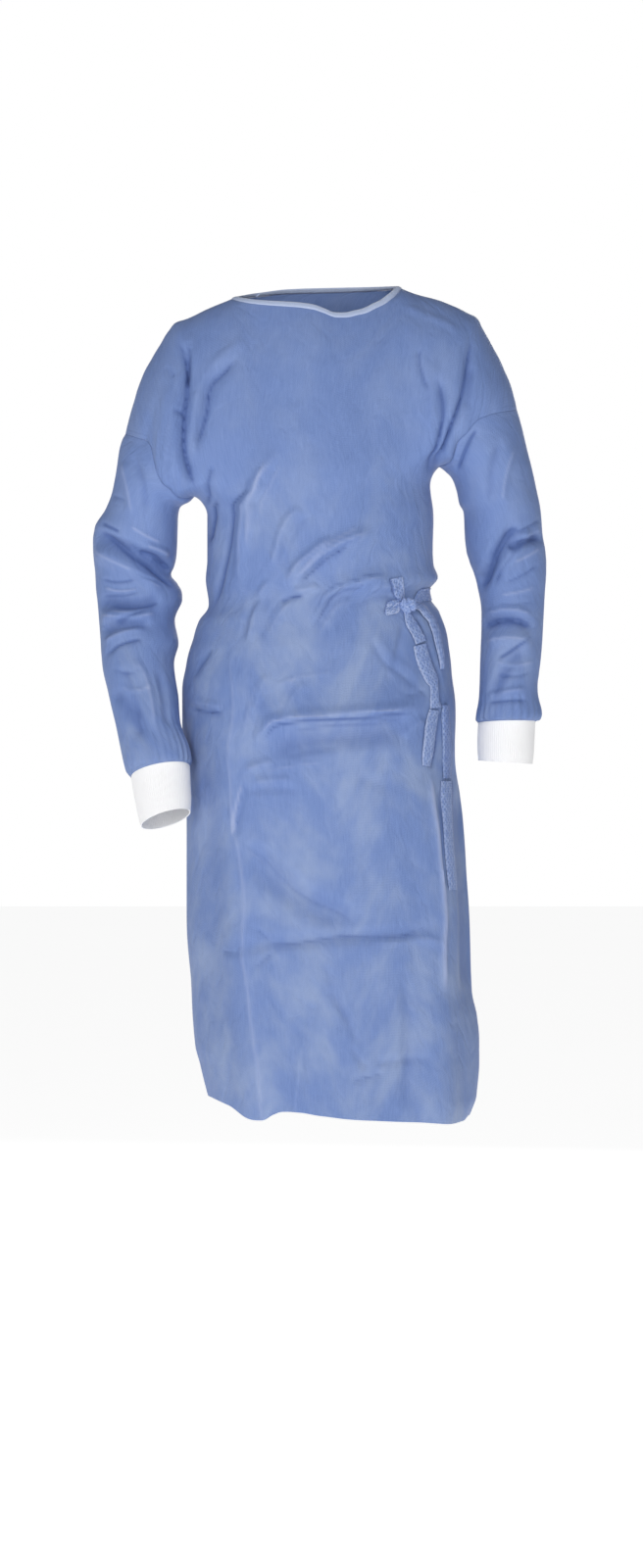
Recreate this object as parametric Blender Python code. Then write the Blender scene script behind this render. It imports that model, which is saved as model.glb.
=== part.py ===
"""Surgical gown as it is worn and tied: hollow cloth solids for each cut piece.

The frame is in metres, +Z up, with the origin between the shoulders at the base of
the neck, +X to the wearer's left and +Y to the wearer's back. Tables are in
millimetres. Their x and z are read in the upright plane through the wearer's middle,
as an eye at VIEW_DISTANCE in front sees them, and each point is then carried along
that line of sight to its own depth.
"""
from collections import namedtuple

import bpy
import numpy as np

MM = 0.001

# Viewing geometry that the outlines were read with
VIEW_DISTANCE = 4500.0
EYE_HEIGHT = -652.0

# Cloth sizes
CLOTH_WALL = 1.4
CUFF_WALL = 2.2
BINDING_WIDTH = 8.0
BINDING_WALL = 2.4
BINDING_PROUD = 0.5
SEAM_GAP = 0.3
SEAM_PULL = 0.8
TIE_THICKNESS = 1.0
FLAP_STEP = 5.0

# Weights of x, y and z that rank the two ends of a seam's stretch
RIM_RANK = (0.37, 0.61, 1.0)

# Shape of the neck opening and of the armholes
NECK_MIDDLE_X = -6.0
NECK_FRONT_DEPTH = 58.0
NECK_BACK_DEPTH = 64.0
ARMHOLE_DEPTH = 76.0

# Grid of the body: columns on each shoulder and on the neck, rows above the armpits
SHOULDER_COLUMNS = 8
NECK_COLUMNS = 8
YOKE_ROWS = 8
COLUMNS = 2 * SHOULDER_COLUMNS + NECK_COLUMNS
NECK_START = SHOULDER_COLUMNS / COLUMNS
NECK_END = 1.0 - NECK_START

Finish = namedtuple("Finish", "name colour roughness")
CLOTH = Finish("blue_nonwoven", (0.17, 0.27, 0.52, 1.0), 0.72)
TIE_CLOTH = Finish("blue_tie_nonwoven", (0.19, 0.30, 0.55, 1.0), 0.7)
BINDING = Finish("pale_binding", (0.48, 0.58, 0.82, 1.0), 0.7)
KNIT = Finish("white_rib_knit", (0.86, 0.86, 0.87, 1.0), 0.9)


def table(columns, *rows):
    """Return a short table as a dictionary from each column's name to its values."""
    return dict(zip(columns.split(), np.array(rows, dtype=float).T))


# Shoulder ridges, from the top of the armhole seam to the neck binding
RIDGE_RIGHT = table(
    "x z",
    (-266, -177), (-262, -160), (-254, -132), (-245, -104), (-231, -76), (-219, -56),
    (-205, -34), (-196, -25), (-186, -22), (-156, -8), (-122, 6),
)
RIDGE_LEFT = table(
    "x z",
    (265, -144), (262, -130), (247, -88), (233, -60), (217, -31), (211, -20),
    (200, -14), (173, -1), (150, 7), (134, 11), (109, 20),
)

# Upper edge of the binding, from the wearer's right to the left
NECK_FRONT = table(
    "x z",
    (-114, 9), (-84, 5), (-50, 3), (-17, 0), (3, -6), (23, -12), (45, -9),
    (69, 0), (89, 12), (101, 23),
)
NECK_BACK = table("x z", (-114, 9), (-80, 15), (-40, 19), (-5, 20), (35, 21), (72, 22), (101, 23))

# Armhole seams, from the shoulder ridge to the armpit
ARMHOLE_RIGHT = table(
    "x z",
    (-266, -177), (-247, -183), (-235, -188), (-227, -214), (-220, -236),
    (-206, -251), (-184, -264), (-170, -259),
)
ARMHOLE_LEFT = table(
    "x z",
    (265, -144), (239, -148), (223, -153), (210, -160), (199, -174),
    (184, -190), (175, -214), (158, -221),
)

# Side outlines of the body, from the armpit to the hem
SIDE_RIGHT = table(
    "z x",
    (-259, -170), (-265, -165), (-273, -160), (-280, -155), (-302, -155), (-348, -155),
    (-374, -157), (-408, -153), (-430, -166), (-455, -174), (-493, -184), (-535, -189),
    (-570, -189), (-640, -184), (-760, -183), (-821, -183), (-919, -177), (-1000, -172),
    (-1031, -165), (-1064, -157), (-1075, -154),
)
SIDE_LEFT = table(
    "z x",
    (-221, 158), (-229, 151), (-238, 147), (-255, 148), (-294, 152), (-331, 151),
    (-354, 152), (-372, 158), (-391, 145), (-419, 160), (-468, 173), (-505, 177),
    (-561, 182), (-602, 181), (-668, 188), (-702, 192), (-778, 197), (-841, 201),
    (-932, 204), (-967, 211), (-1011, 214), (-1068, 211), (-1094, 204), (-1101, 201),
)
ARMHOLE_TOP_RIGHT = (-266.0, -177.0)
ARMHOLE_TOP_LEFT = (265.0, -144.0)
ARMPIT_RIGHT = (-170.0, -259.0)
ARMPIT_LEFT = (158.0, -221.0)
HEM_RIGHT = (-154.0, -1075.0)
HEM_LEFT = (201.0, -1101.0)

# Lower edge of the front, with the pointed corner of its packing crease
HEM_FRONT = table(
    "x z",
    (-154, -1075), (-126, -1088), (-79, -1108), (-65, -1101), (-49, -1097),
    (0, -1103), (69, -1109), (154, -1111), (190, -1109), (201, -1101),
)
HEM_WAVE_ROWS = 0.3

# How gently the columns spread out above the armpits
YOKE_FLARE = 1.7

# Depth of the body before and behind its side seams, and how square its section is
BODY_DEPTH = table(
    "z front back power",
    (-1110, 142, 134, 2.8),
    (-900, 139, 130, 2.8),
    (-700, 136, 128, 2.7),
    (-560, 133, 122, 2.5),
    (-470, 122, 108, 2.3),
    (-395, 112, 96, 2.1),
    (-330, 117, 104, 2.1),
    (-240, 119, 112, 2.0),
)

# Bands of rows below the armpits, as shares of the way to the hem
ROW_BANDS = table(
    "start rows", (0.0, 3), (0.09, 4), (0.187, 2), (0.207, 3), (0.28, 9), (0.72, 6), (1.0, 0)
)

# Sleeves: outer and inner outline, depth of the middle, half depths, rise of the front
SLEEVE_COLUMNS = "outer_x outer_z inner_x inner_z middle front back rise"
SLEEVE_RIGHT = table(
    SLEEVE_COLUMNS,
    (-266, -177, -170, -259, 0, 76, 76, 0.00),
    (-273, -193, -179, -269, 0, 74, 74, 0.00),
    (-280, -236, -193, -280, 2, 68, 70, 0.00),
    (-292, -277, -195, -304, 5, 62, 66, 0.00),
    (-308, -306, -196, -331, 9, 59, 62, 0.00),
    (-310, -330, -200, -357, 13, 57, 60, 0.00),
    (-307, -366, -204, -368, 16, 55, 58, 0.00),
    (-306, -386, -195, -381, 17, 55, 57, 0.02),
    (-304, -404, -189, -402, 14, 55, 56, 0.05),
    (-302, -428, -199, -430, 6, 54, 54, 0.10),
    (-300, -454, -194, -461, -4, 53, 53, 0.16),
    (-298, -484, -200, -489, -16, 51, 51, 0.21),
    (-290, -525, -194, -535, -33, 47, 47, 0.25),
    (-279, -570, -192, -566, -49, 43, 43, 0.28),
    (-267, -616, -180, -607, -64, 40, 40, 0.30),
    (-259, -642, -178, -628, -71, 38, 38, 0.31),
)
SLEEVE_LEFT = table(
    SLEEVE_COLUMNS,
    (265, -144, 158, -221, 0, 76, 76, 0.00),
    (270, -161, 169, -229, 0, 74, 74, 0.00),
    (279, -198, 182, -250, 2, 69, 70, 0.00),
    (291, -249, 187, -272, 4, 63, 66, 0.00),
    (298, -288, 193, -286, 8, 60, 62, 0.00),
    (300, -314, 194, -307, 11, 57, 60, 0.00),
    (304, -338, 196, -331, 13, 55, 58, 0.00),
    (305, -359, 201, -351, 15, 54, 57, 0.00),
    (303, -394, 212, -386, 16, 52, 54, 0.00),
    (301, -432, 217, -430, 14, 50, 52, 0.02),
    (298, -478, 216, -466, 8, 48, 50, 0.04),
    (295, -503, 215, -496, 4, 46, 47, 0.05),
    (293, -526, 214, -531, 0, 44, 44, 0.06),
    (296, -552, 212, -556, -4, 42, 42, 0.06),
    (291, -567, 212, -569, -6, 39, 39, 0.06),
)
CUFF_RIGHT = table(
    SLEEVE_COLUMNS,
    (-259, -642, -178, -628, -71, 38, 38, 0.31),
    (-255, -662, -178, -649, -77, 36, 36, 0.31),
    (-250, -688, -177, -672, -85, 35, 35, 0.31),
    (-246, -709, -177, -690, -91, 35, 35, 0.31),
)
CUFF_LEFT = table(
    SLEEVE_COLUMNS,
    (291, -567, 212, -569, -6, 39, 39, 0.06),
    (289, -586, 212, -586, -7, 37, 37, 0.04),
    (288, -606, 212, -604, -9, 36, 36, 0.02),
    (287, -625, 212, -620, -10, 36, 36, 0.00),
)
SLEEVE_ROWS = 20
CUFF_ROWS = 3
SEAM_FADE_ROWS = 0.16

# Free edges of the back flaps, as shares across the back, by row
FLAP_EDGES = table(
    "row outer inner", (0.0, 0.585, 0.41), (1.0, 0.68, 0.40), (1.2, 0.73, 0.39), (2.0, 0.76, 0.38)
)
OUTER_FLAP_COLUMNS = 10
INNER_FLAP_COLUMNS = 6
STEP_NEAR = 0.03
STEP_FAR = 0.075

# Large folds: height at the start and at the end of the path, above zero for a ridge
Fold = namedtuple("Fold", "start end half_width path")
FRONT_FOLDS = (
    Fold(4, 13, 46, ((-118, -455), (-124, -612), (-109, -746), (-104, -872), (-90, -984), (-76, -1180))),
    Fold(3, 9, 44, ((147, -620), (154, -721), (162, -834), (161, -943), (165, -1180))),
    Fold(8, 6, 22, ((-98, -606), (-78, -584), (-55, -567), (9, -560), (65, -556), (145, -546))),
    Fold(-7, -5, 24, ((-80, -618), (-30, -593), (60, -582), (140, -571))),
    Fold(8, 5, 20, ((98, -370), (77, -371), (44, -380), (13, -391), (-2, -412), (-18, -446))),
    Fold(-6, -5, 16, ((64, -388), (34, -391), (14, -402), (2, -420), (-12, -448))),
    Fold(5, 6, 22, ((70, -303), (30, -322), (-15, -350), (-50, -386))),
    Fold(-4, -5, 20, ((-98, -226), (-120, -271), (-126, -306), (-137, -367), (-148, -419))),
    Fold(5, 3, 20, ((-64, -188), (-90, -235), (-104, -290), (-110, -350))),
    Fold(-7, -9, 18, ((-200, -34), (-183, -100), (-186, -174), (-180, -223), (-166, -262))),
    Fold(-4, -5, 16, ((-108, -66), (-130, -88), (-153, -124), (-166, -186), (-168, -205))),
    Fold(-6, -9, 18, ((209, -33), (202, -66), (193, -114), (178, -160), (166, -200), (147, -236))),
    Fold(-3, -4, 16, ((150, -92), (164, -124), (164, -160), (152, -205), (144, -240))),
    Fold(-5, -5, 24, ((-112, -727), (-84, -750), (-40, -792), (28, -831), (60, -856))),
    Fold(-4, -4, 16, ((-137, -876), (-60, -867), (50, -859), (110, -856), (168, -832))),
    Fold(-5, -3, 20, ((-150, -468), (-166, -486), (-180, -508), (-188, -530))),
)
BACK_FOLDS = (
    Fold(-6, -5, 22, ((-60, -150), (-84, -250), (-92, -340), (-84, -430))),
    Fold(5, 6, 26, ((-20, -180), (-32, -280), (-28, -370))),
    Fold(-6, -8, 18, ((-206, -40), (-190, -110), (-186, -180), (-170, -250))),
    Fold(-6, -8, 18, ((212, -40), (200, -100), (184, -160), (156, -224))),
    Fold(7, 5, 22, ((118, -398), (70, -412), (10, -440), (-40, -480))),
    Fold(-6, -5, 20, ((112, -420), (60, -438), (4, -470), (-30, -510))),
    Fold(5, 12, 46, ((-112, -520), (-118, -660), (-110, -860), (-96, -1180))),
    Fold(3, 9, 40, ((30, -600), (36, -800), (30, -1180))),
    Fold(-5, -5, 26, ((-90, -600), (-30, -586), (50, -592), (120, -580))),
    Fold(-4, -4, 18, ((-150, -866), (-40, -860), (60, -866), (150, -850))),
)
SLEEVE_RIGHT_FRONT_FOLDS = (
    Fold(-8, -9, 16, ((-312, -310), (-280, -326), (-240, -346), (-200, -369))),
    Fold(7, 6, 16, ((-312, -332), (-285, -346), (-250, -366), (-214, -392))),
    Fold(-6, -5, 14, ((-306, -404), (-262, -410), (-214, -400))),
    Fold(5, 5, 14, ((-302, -424), (-262, -432), (-222, -424))),
    Fold(-5, -4, 14, ((-300, -452), (-262, -440), (-230, -444))),
    Fold(-4, -5, 16, ((-290, -530), (-262, -560), (-240, -604))),
)
SLEEVE_LEFT_FRONT_FOLDS = (
    Fold(-7, -9, 15, ((269, -300), (242, -331), (228, -358), (208, -392))),
    Fold(6, 5, 14, ((286, -306), (262, -338), (240, -372))),
    Fold(-6, -5, 12, ((304, -316), (270, -325), (250, -334))),
    Fold(-6, -5, 13, ((214, -440), (250, -432), (292, -440))),
    Fold(5, 4, 14, ((222, -462), (255, -456), (290, -462))),
    Fold(-4, -4, 14, ((282, -470), (250, -500), (230, -545))),
)
SLEEVE_BACK_FOLDS_RIGHT = (
    Fold(6, 6, 18, ((-300, -360), (-262, -380), (-214, -396))),
    Fold(-7, -6, 16, ((-302, -392), (-260, -408), (-206, -420))),
    Fold(-5, -5, 16, ((-280, -250), (-240, -300), (-214, -350))),
    Fold(5, 4, 16, ((-296, -450), (-256, -470), (-214, -466))),
)
SLEEVE_BACK_FOLDS_LEFT = (
    Fold(6, 6, 18, ((296, -350), (262, -372), (222, -380))),
    Fold(-7, -6, 16, ((298, -384), (262, -400), (226, -404))),
    Fold(-5, -5, 16, ((284, -220), (240, -270), (214, -330))),
    Fold(5, 4, 16, ((292, -440), (256, -462), (230, -454))),
)

# Tied ends: the middle line as x, z and width at each point
Tie = namedtuple("Tie", "name path")
TIES = (
    Tie("tie_end_short", ((116, -424, 10), (122, -436, 15), (131, -448, 16), (135, -459, 16))),
    Tie(
        "tie_end_curved",
        ((121, -408, 9), (138, -419, 11), (152, -438, 11), (158, -462, 9), (162, -484, 7), (163, -496, 5)),
    ),
    Tie(
        "tie_end_front",
        ((134, -463, 15), (140, -485, 18), (149, -508, 17), (153, -522, 10), (154, -540, 12), (155, -549, 15)),
    ),
    Tie("tie_end_low_front", ((153, -552, 12), (148, -582, 14), (144, -608, 14), (141, -628, 10))),
    Tie("tie_end_low_side", ((168, -545, 8), (169, -580, 8), (170, -612, 8), (170, -644, 9))),
    Tie("tie_end_side", ((169, -648, 16), (170, -690, 17), (172, -740, 17), (175, -796, 16))),
    Tie("tie_loop", ((106, -399, 12), (103, -388, 16), (100, -373, 17))),
    Tie("tie_patch", ((86, -422, 4), (91, -417, 14), (96, -412, 21), (101, -407, 14), (104, -404, 4))),
)
TIE_LIFT = 0.95
TIE_STEPS = 3

# Belt round the wearer's left side: share across the front and back where it ends
BELT_FRONT_COLUMNS = 3
BELT_BACK_COLUMNS = 6
BELT_STEPS = 2
BELT_ROWS = (1.187, 1.197, 1.207)

KNOT_PLACE = (113.0, -413.0)
KNOT_SIZE = (26.0, 12.0, 22.0)
KNOT_LIFT = 10.8

NECK_TAB_START = 0.54
NECK_TAB_END = 0.62
NECK_TAB_ROW = (0.10, 0.30)


def curve(keys, values, at):
    """Return a smooth curve through a table's values that never overshoots them."""
    if keys[0] > keys[-1]:
        keys, values = keys[::-1], values[::-1]
    step = np.diff(keys)
    rise = np.diff(values) / step
    product = rise[:-1] * rise[1:]
    total = rise[:-1] + rise[1:]
    slope = np.concatenate([rise[:1], np.zeros(len(rise) - 1), rise[-1:]])
    steady = product > 0
    slope[1:-1][steady] = 2.0 * product[steady] / total[steady]
    at = np.clip(at, keys[0], keys[-1])
    index = np.clip(np.searchsorted(keys, at) - 1, 0, len(step) - 1)
    share = (at - keys[index]) / step[index]
    near = values[index] + share * step[index] * slope[index]
    far = values[index + 1] - (1.0 - share) * step[index] * slope[index + 1]
    blend = share * share * (3.0 - 2.0 * share)
    return near * (1.0 - blend) + far * blend


def along(points, share):
    """Return x and z at a share of the length of a table's line."""
    steps = np.hypot(np.diff(points["x"]), np.diff(points["z"]))
    length = np.concatenate([[0.0], np.cumsum(steps)])
    at = np.asarray(share) * length[-1]
    return curve(length, points["x"], at), curve(length, points["z"], at)


def smooth_step(low, high, value):
    """Return 0 below low, 1 above high and a soft step between."""
    share = np.clip((value - low) / (high - low), 0.0, 1.0)
    return share * share * (3.0 - 2.0 * share)


def arch(share):
    """Return the height of half an ellipse over a share of its width."""
    return np.sqrt(np.clip(1.0 - (2.0 * share - 1.0) ** 2, 0.0, 1.0))


def round_share(position):
    """Space positions from 0 to 1 so that points lie closer together at both ends."""
    return 0.5 - 0.5 * np.cos(np.pi * position)


def seen(x, z, depth):
    """Carry points of the middle plane along the line of sight to their depth."""
    spread = (VIEW_DISTANCE + depth) / VIEW_DISTANCE
    return np.stack([x * spread, depth, EYE_HEIGHT + (z - EYE_HEIGHT) * spread], axis=-1)


def neck_line(side, share, lower):
    """Return x, z and depth of the binding's upper edge, or of its lower one."""
    x, z = along(NECK_FRONT if side < 0 else NECK_BACK, round_share(share))
    depth = NECK_FRONT_DEPTH if side < 0 else NECK_BACK_DEPTH
    y = side * depth * np.sin(np.pi * share)
    if not lower:
        return x, z, y
    half_width = 0.5 * (NECK_FRONT["x"][-1] - NECK_FRONT["x"][0])
    x = NECK_MIDDLE_X + (x - NECK_MIDDLE_X) * (1.0 + BINDING_WIDTH / half_width)
    z = z - BINDING_WIDTH * (0.35 + 0.55 * np.sin(np.pi * share))
    return x, z, y * (1.0 + 0.6 * BINDING_WIDTH / depth)


def top_edge(side, across):
    """Return x, z and depth of a body panel's upper edge: ridge, neck, ridge."""
    right_x, right_z = along(RIDGE_RIGHT, np.clip(across / NECK_START, 0.0, 1.0))
    left_x, left_z = along(RIDGE_LEFT, np.clip((1.0 - across) / NECK_START, 0.0, 1.0))
    share = np.clip((across - NECK_START) / (NECK_END - NECK_START), 0.0, 1.0)
    neck_x, neck_z, neck_y = neck_line(side, share, lower=True)
    on_right = across < NECK_START
    on_left = across > NECK_END
    x = np.where(on_right, right_x, np.where(on_left, left_x, neck_x))
    z = np.where(on_right, right_z, np.where(on_left, left_z, neck_z))
    y = np.where(on_right | on_left, 0.0, neck_y)
    return x, z, y, share


def body_section(side, level, across):
    """Return the depth of the body's section at a level, across from side to side."""
    reach = curve(BODY_DEPTH["z"], BODY_DEPTH["front" if side < 0 else "back"], level)
    power = curve(BODY_DEPTH["z"], BODY_DEPTH["power"], level)
    offset = np.abs(np.cos(np.pi * across))
    return side * reach * np.sqrt(np.clip(1.0 - offset ** power, 0.0, 1.0))


def yoke(side, across, row):
    """Return x, z and depth above the armpits, where row runs from 0 to 1."""
    top_x, top_z, top_y, neck_share = top_edge(side, across)
    chest = round_share(across)
    right_x, right_z = along(ARMHOLE_RIGHT, row)
    left_x, left_z = along(ARMHOLE_LEFT, row)
    plane = []
    for top, right, left, axis, pull in (
        (top_x, right_x, left_x, 0, (1.0 - row) ** YOKE_FLARE),
        (top_z, right_z, left_z, 1, 1.0 - row),
    ):
        starts = (1.0 - across) * ARMHOLE_TOP_RIGHT[axis] + across * ARMHOLE_TOP_LEFT[axis]
        ends = (1.0 - across) * ARMPIT_RIGHT[axis] + across * ARMPIT_LEFT[axis]
        bottom = ARMPIT_RIGHT[axis] + (ARMPIT_LEFT[axis] - ARMPIT_RIGHT[axis]) * chest
        sides = (1.0 - across) * right + across * left
        plane.append(pull * (top - starts) + (1.0 - pull) * (bottom - ends) + sides)
    bulge = arch(row) * (
        1.0 - smooth_step(0.0, 0.30, across) * smooth_step(0.0, 0.30, 1.0 - across)
    )
    neck_weight = np.where(
        (across > NECK_START) & (across < NECK_END), 1.0 - (1.0 - np.sin(np.pi * neck_share)) ** 3, 0.0
    )
    round_rise = np.sqrt(np.clip(1.0 - (1.0 - row) ** 2, 0.0, 1.0))
    neck_rise = 1.0 - (1.0 - row) ** 1.7
    rise = round_rise * (1.0 - neck_weight) + neck_rise * neck_weight
    chest_y = body_section(side, BODY_DEPTH["z"][-1], across)
    depth = top_y + (chest_y - top_y) * rise + side * ARMHOLE_DEPTH * bulge
    return plane[0], plane[1], depth


def skirt(side, across, row):
    """Return x, z and depth below the armpits, where row runs from 0 to 1."""
    right_z = ARMPIT_RIGHT[1] + (HEM_RIGHT[1] - ARMPIT_RIGHT[1]) * row
    left_z = ARMPIT_LEFT[1] + (HEM_LEFT[1] - ARMPIT_LEFT[1]) * row
    right_x = curve(SIDE_RIGHT["z"], SIDE_RIGHT["x"], right_z)
    left_x = curve(SIDE_LEFT["z"], SIDE_LEFT["x"], left_z)
    chest = round_share(across)
    x = right_x + (left_x - right_x) * chest
    z = right_z + (left_z - right_z) * chest
    if side < 0:
        hem_x = HEM_RIGHT[0] + (HEM_LEFT[0] - HEM_RIGHT[0]) * chest
        hem_z = HEM_RIGHT[1] + (HEM_LEFT[1] - HEM_RIGHT[1]) * chest
        wave = curve(HEM_FRONT["x"], HEM_FRONT["z"], hem_x) - hem_z
        z = z + wave * smooth_step(1.0 - HEM_WAVE_ROWS, 1.0, row)
    return x, z, body_section(side, z, across)


def body(side, across, row):
    """Return x, z and depth of the body; rows run from 0 to 1 at the armpits to 2."""
    upper = yoke(side, across, np.clip(row, 0.0, 1.0))
    lower = skirt(side, across, np.clip(row - 1.0, 0.0, 1.0))
    return [np.where(row < 1.0, high, low) for high, low in zip(upper, lower)]


def fold_height(folds, x, z):
    """Return the height of all folds at points of the middle plane."""
    height = np.zeros(np.shape(x))
    for fold in folds:
        path = np.array(fold.path, dtype=float)
        steps = np.hypot(*np.diff(path, axis=0).T)
        length = np.concatenate([[0.0], np.cumsum(steps)])
        nearest = np.full(np.shape(x), np.inf)
        share = np.zeros(np.shape(x))
        for index, step in enumerate(steps):
            run_x, run_z = (path[index + 1] - path[index]) / step
            gone = np.clip((x - path[index, 0]) * run_x + (z - path[index, 1]) * run_z, 0.0, step)
            away = np.hypot(x - path[index, 0] - gone * run_x, z - path[index, 1] - gone * run_z)
            closer = away < nearest
            nearest = np.where(closer, away, nearest)
            share = np.where(closer, (length[index] + gone) / length[-1], share)
        ends = smooth_step(0.0, 0.2, share) * smooth_step(0.0, 0.2, 1.0 - share)
        tall = fold.start + (fold.end - fold.start) * share
        reach = np.clip(nearest / fold.half_width, 0.0, 1.0)
        height += tall * ends * (0.5 + 0.5 * np.cos(np.pi * reach))
    return height


def grid_normals(grid, turn):
    """Return the outward unit normals of a grid of points."""
    normal = turn * np.cross(np.gradient(grid, axis=1), np.gradient(grid, axis=0))
    return normal / np.maximum(np.linalg.norm(normal, axis=-1, keepdims=True), 1e-9)


def folded(x, z, depth, folds, turn, hold):
    """Carry a grid to its depth and raise its folds, held flat where hold is 0."""
    grid = seen(x, z, depth)
    return grid + grid_normals(grid, turn) * (fold_height(folds, x, z) * hold)[..., None]


def skirt_rows():
    """Return the rows below the armpits, closer together at the waist."""
    rows = []
    for start, end, count in zip(ROW_BANDS["start"], ROW_BANDS["start"][1:], ROW_BANDS["rows"]):
        rows.extend(start + (end - start) * np.arange(int(count)) / count)
    return 1.0 + np.array(rows + [1.0])


def body_rows():
    """Return all rows of a body panel, with the armpit row once."""
    above = round_share(np.arange(YOKE_ROWS) / YOKE_ROWS)
    return np.concatenate([above, skirt_rows()])[:, None]


def side_hold(across, row):
    """Return how far folds may rise: not at seams, edges and outlines."""
    sides = smooth_step(0.0, 0.10, across) * smooth_step(0.0, 0.10, 1.0 - across)
    return sides * smooth_step(0.0, 0.25, row)


def front_sheet():
    """Return the outer points of the front."""
    row = body_rows()
    across = np.broadcast_to(np.arange(COLUMNS + 1) / COLUMNS, (len(row), COLUMNS + 1))
    x, z, depth = body(-1, across, row)
    return folded(x, z, depth, FRONT_FOLDS, -1, side_hold(across, row))


def outer_flap_across(row):
    """Return the columns of the outer flap: the shoulder's, then those to its edge."""
    edge = curve(FLAP_EDGES["row"], FLAP_EDGES["outer"], row)
    shoulder = np.arange(SHOULDER_COLUMNS) / COLUMNS * np.ones_like(row)
    share = np.arange(OUTER_FLAP_COLUMNS + 1) / OUTER_FLAP_COLUMNS
    return np.concatenate([shoulder, NECK_START + (edge - NECK_START) * share], axis=1)


def inner_flap_across(row):
    """Return the columns of the inner flap, from its free edge to the left side."""
    edge = curve(FLAP_EDGES["row"], FLAP_EDGES["inner"], row)
    share = np.arange(INNER_FLAP_COLUMNS) / INNER_FLAP_COLUMNS
    shoulder = (NECK_END + np.arange(SHOULDER_COLUMNS + 1) / COLUMNS) * np.ones_like(row)
    return np.concatenate([edge + (NECK_END - edge) * share, shoulder], axis=1)


def flap_step(across, row):
    """Return how deep the inner flap lies under the outer one."""
    edge = curve(FLAP_EDGES["row"], FLAP_EDGES["outer"], row)
    return FLAP_STEP * (1.0 - smooth_step(STEP_NEAR, STEP_FAR, across - edge))


def tuck(points, step):
    """Move points towards the body's middle line by a step."""
    away = points[..., :2] - np.array([NECK_MIDDLE_X, 0.0])
    away /= np.linalg.norm(away, axis=-1, keepdims=True)
    points[..., :2] -= away * np.asarray(step)[..., None]


def back_sheet(across, under):
    """Return the outer points of a back flap, moved in where it lies under the other."""
    row = body_rows()
    x, z, depth = body(1, across, row)
    grid = folded(x, z, depth, BACK_FOLDS, 1, side_hold(across, row))
    if under:
        tuck(grid, flap_step(across, row))
    return grid


def sleeve_halves(sections, armhole, rows, folds_front, folds_back, turn):
    """Return the rings of a sleeve or cuff: front from the outside in, then the back."""
    row = (np.arange(rows + 1) / rows)[:, None]
    key = np.linspace(0.0, 1.0, len(sections["middle"]))
    at = {name: curve(key, values, row) for name, values in sections.items()}
    width = round_share(np.arange(YOKE_ROWS + 1) / YOKE_ROWS)[None, :]
    halves = []
    for side, folds in ((-1, folds_front), (1, folds_back)):
        x = at["outer_x"] + (at["inner_x"] - at["outer_x"]) * width
        z = at["outer_z"] + (at["inner_z"] - at["outer_z"]) * width
        if armhole:
            seam_x, seam_z = along(armhole, width)
            fade = 1.0 - smooth_step(0.0, SEAM_FADE_ROWS, row)
            x = x + (seam_x - x[:1]) * fade
            z = z + (seam_z - z[:1]) * fade
        reach = side * at["front" if side < 0 else "back"] * arch(width)
        hold = smooth_step(0.0, 0.1, width) * smooth_step(0.0, 0.1, 1.0 - width)
        hold = hold * smooth_step(0.0, 0.1, row) * smooth_step(0.0, 0.1, 1.0 - row)
        grid = folded(x, z - at["rise"] * reach, at["middle"] + reach, folds, side * turn, hold)
        halves.append(grid if side < 0 else grid[:, -2:0:-1])
    return np.concatenate(halves, axis=1)


def shared_normals(sheets):
    """Return unit normals for each sheet, with one normal where seams share a point."""
    corners = []
    normals = []
    for grid, turn, wrap in sheets:
        wide = np.concatenate([grid, grid[:, :1]], axis=1) if wrap else grid
        face = turn * np.cross(wide[1:, 1:] - wide[:-1, :-1], wide[1:, :-1] - wide[:-1, 1:])
        total = np.zeros_like(wide)
        for rows, columns in (
            (slice(None, -1), slice(None, -1)), (slice(1, None), slice(None, -1)),
            (slice(None, -1), slice(1, None)), (slice(1, None), slice(1, None)),
        ):
            total[rows, columns] += face
        corners.append(wide.reshape(-1, 3))
        normals.append(total.reshape(-1, 3))
    _, same = np.unique(np.round(np.concatenate(corners), 2), axis=0, return_inverse=True)
    summed = np.zeros((same.max() + 1, 3))
    np.add.at(summed, same.reshape(-1), np.concatenate(normals))
    summed /= np.maximum(np.linalg.norm(summed, axis=1, keepdims=True), 1e-9)
    result = []
    used = 0
    for (grid, _, wrap), flat in zip(sheets, corners):
        rows, columns = grid.shape[:2]
        wide = summed[same.reshape(-1)[used:used + len(flat)]].reshape(rows, columns + wrap, 3)
        result.append(wide[:, :columns])
        used += len(flat)
    return result


def pull_in(grid, edges):
    """Move the named edges of a grid back by half a seam gap."""
    grid = grid.copy()
    places = {
        "top": ((0, slice(None)), (1, slice(None))),
        "bottom": ((-1, slice(None)), (-2, slice(None))),
        "start": ((slice(None), 0), (slice(None), 1)),
        "end": ((slice(None), -1), (slice(None), -2)),
    }
    for name in edges:
        edge, inside = places[name]
        run = grid[inside] - grid[edge]
        grid[edge] = grid[edge] + SEAM_PULL * SEAM_GAP * run / np.linalg.norm(run, axis=-1, keepdims=True)
    return grid


def material(finish):
    """Return the material of a finish, made once."""
    known = bpy.data.materials.get(finish.name)
    if known:
        return known
    made = bpy.data.materials.new(finish.name)
    made.use_nodes = True
    shader = made.node_tree.nodes["Principled BSDF"]
    shader.inputs["Base Color"].default_value = finish.colour
    shader.inputs["Roughness"].default_value = finish.roughness
    shader.inputs["Metallic"].default_value = 0.0
    made.diffuse_color = finish.colour
    return made


def add_solid(name, points, faces, finish):
    """Add a named object from points in millimetres and its faces."""
    mesh = bpy.data.meshes.new(name)
    mesh.from_pydata([tuple(point) for point in points * MM], [], faces)
    mesh.materials.append(material(finish))
    mesh.validate()
    mesh.shade_smooth()
    mesh.set_sharp_from_angle(angle=0.7)
    solid = bpy.data.objects.new(name, mesh)
    bpy.context.scene.collection.objects.link(solid)
    return solid


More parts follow.
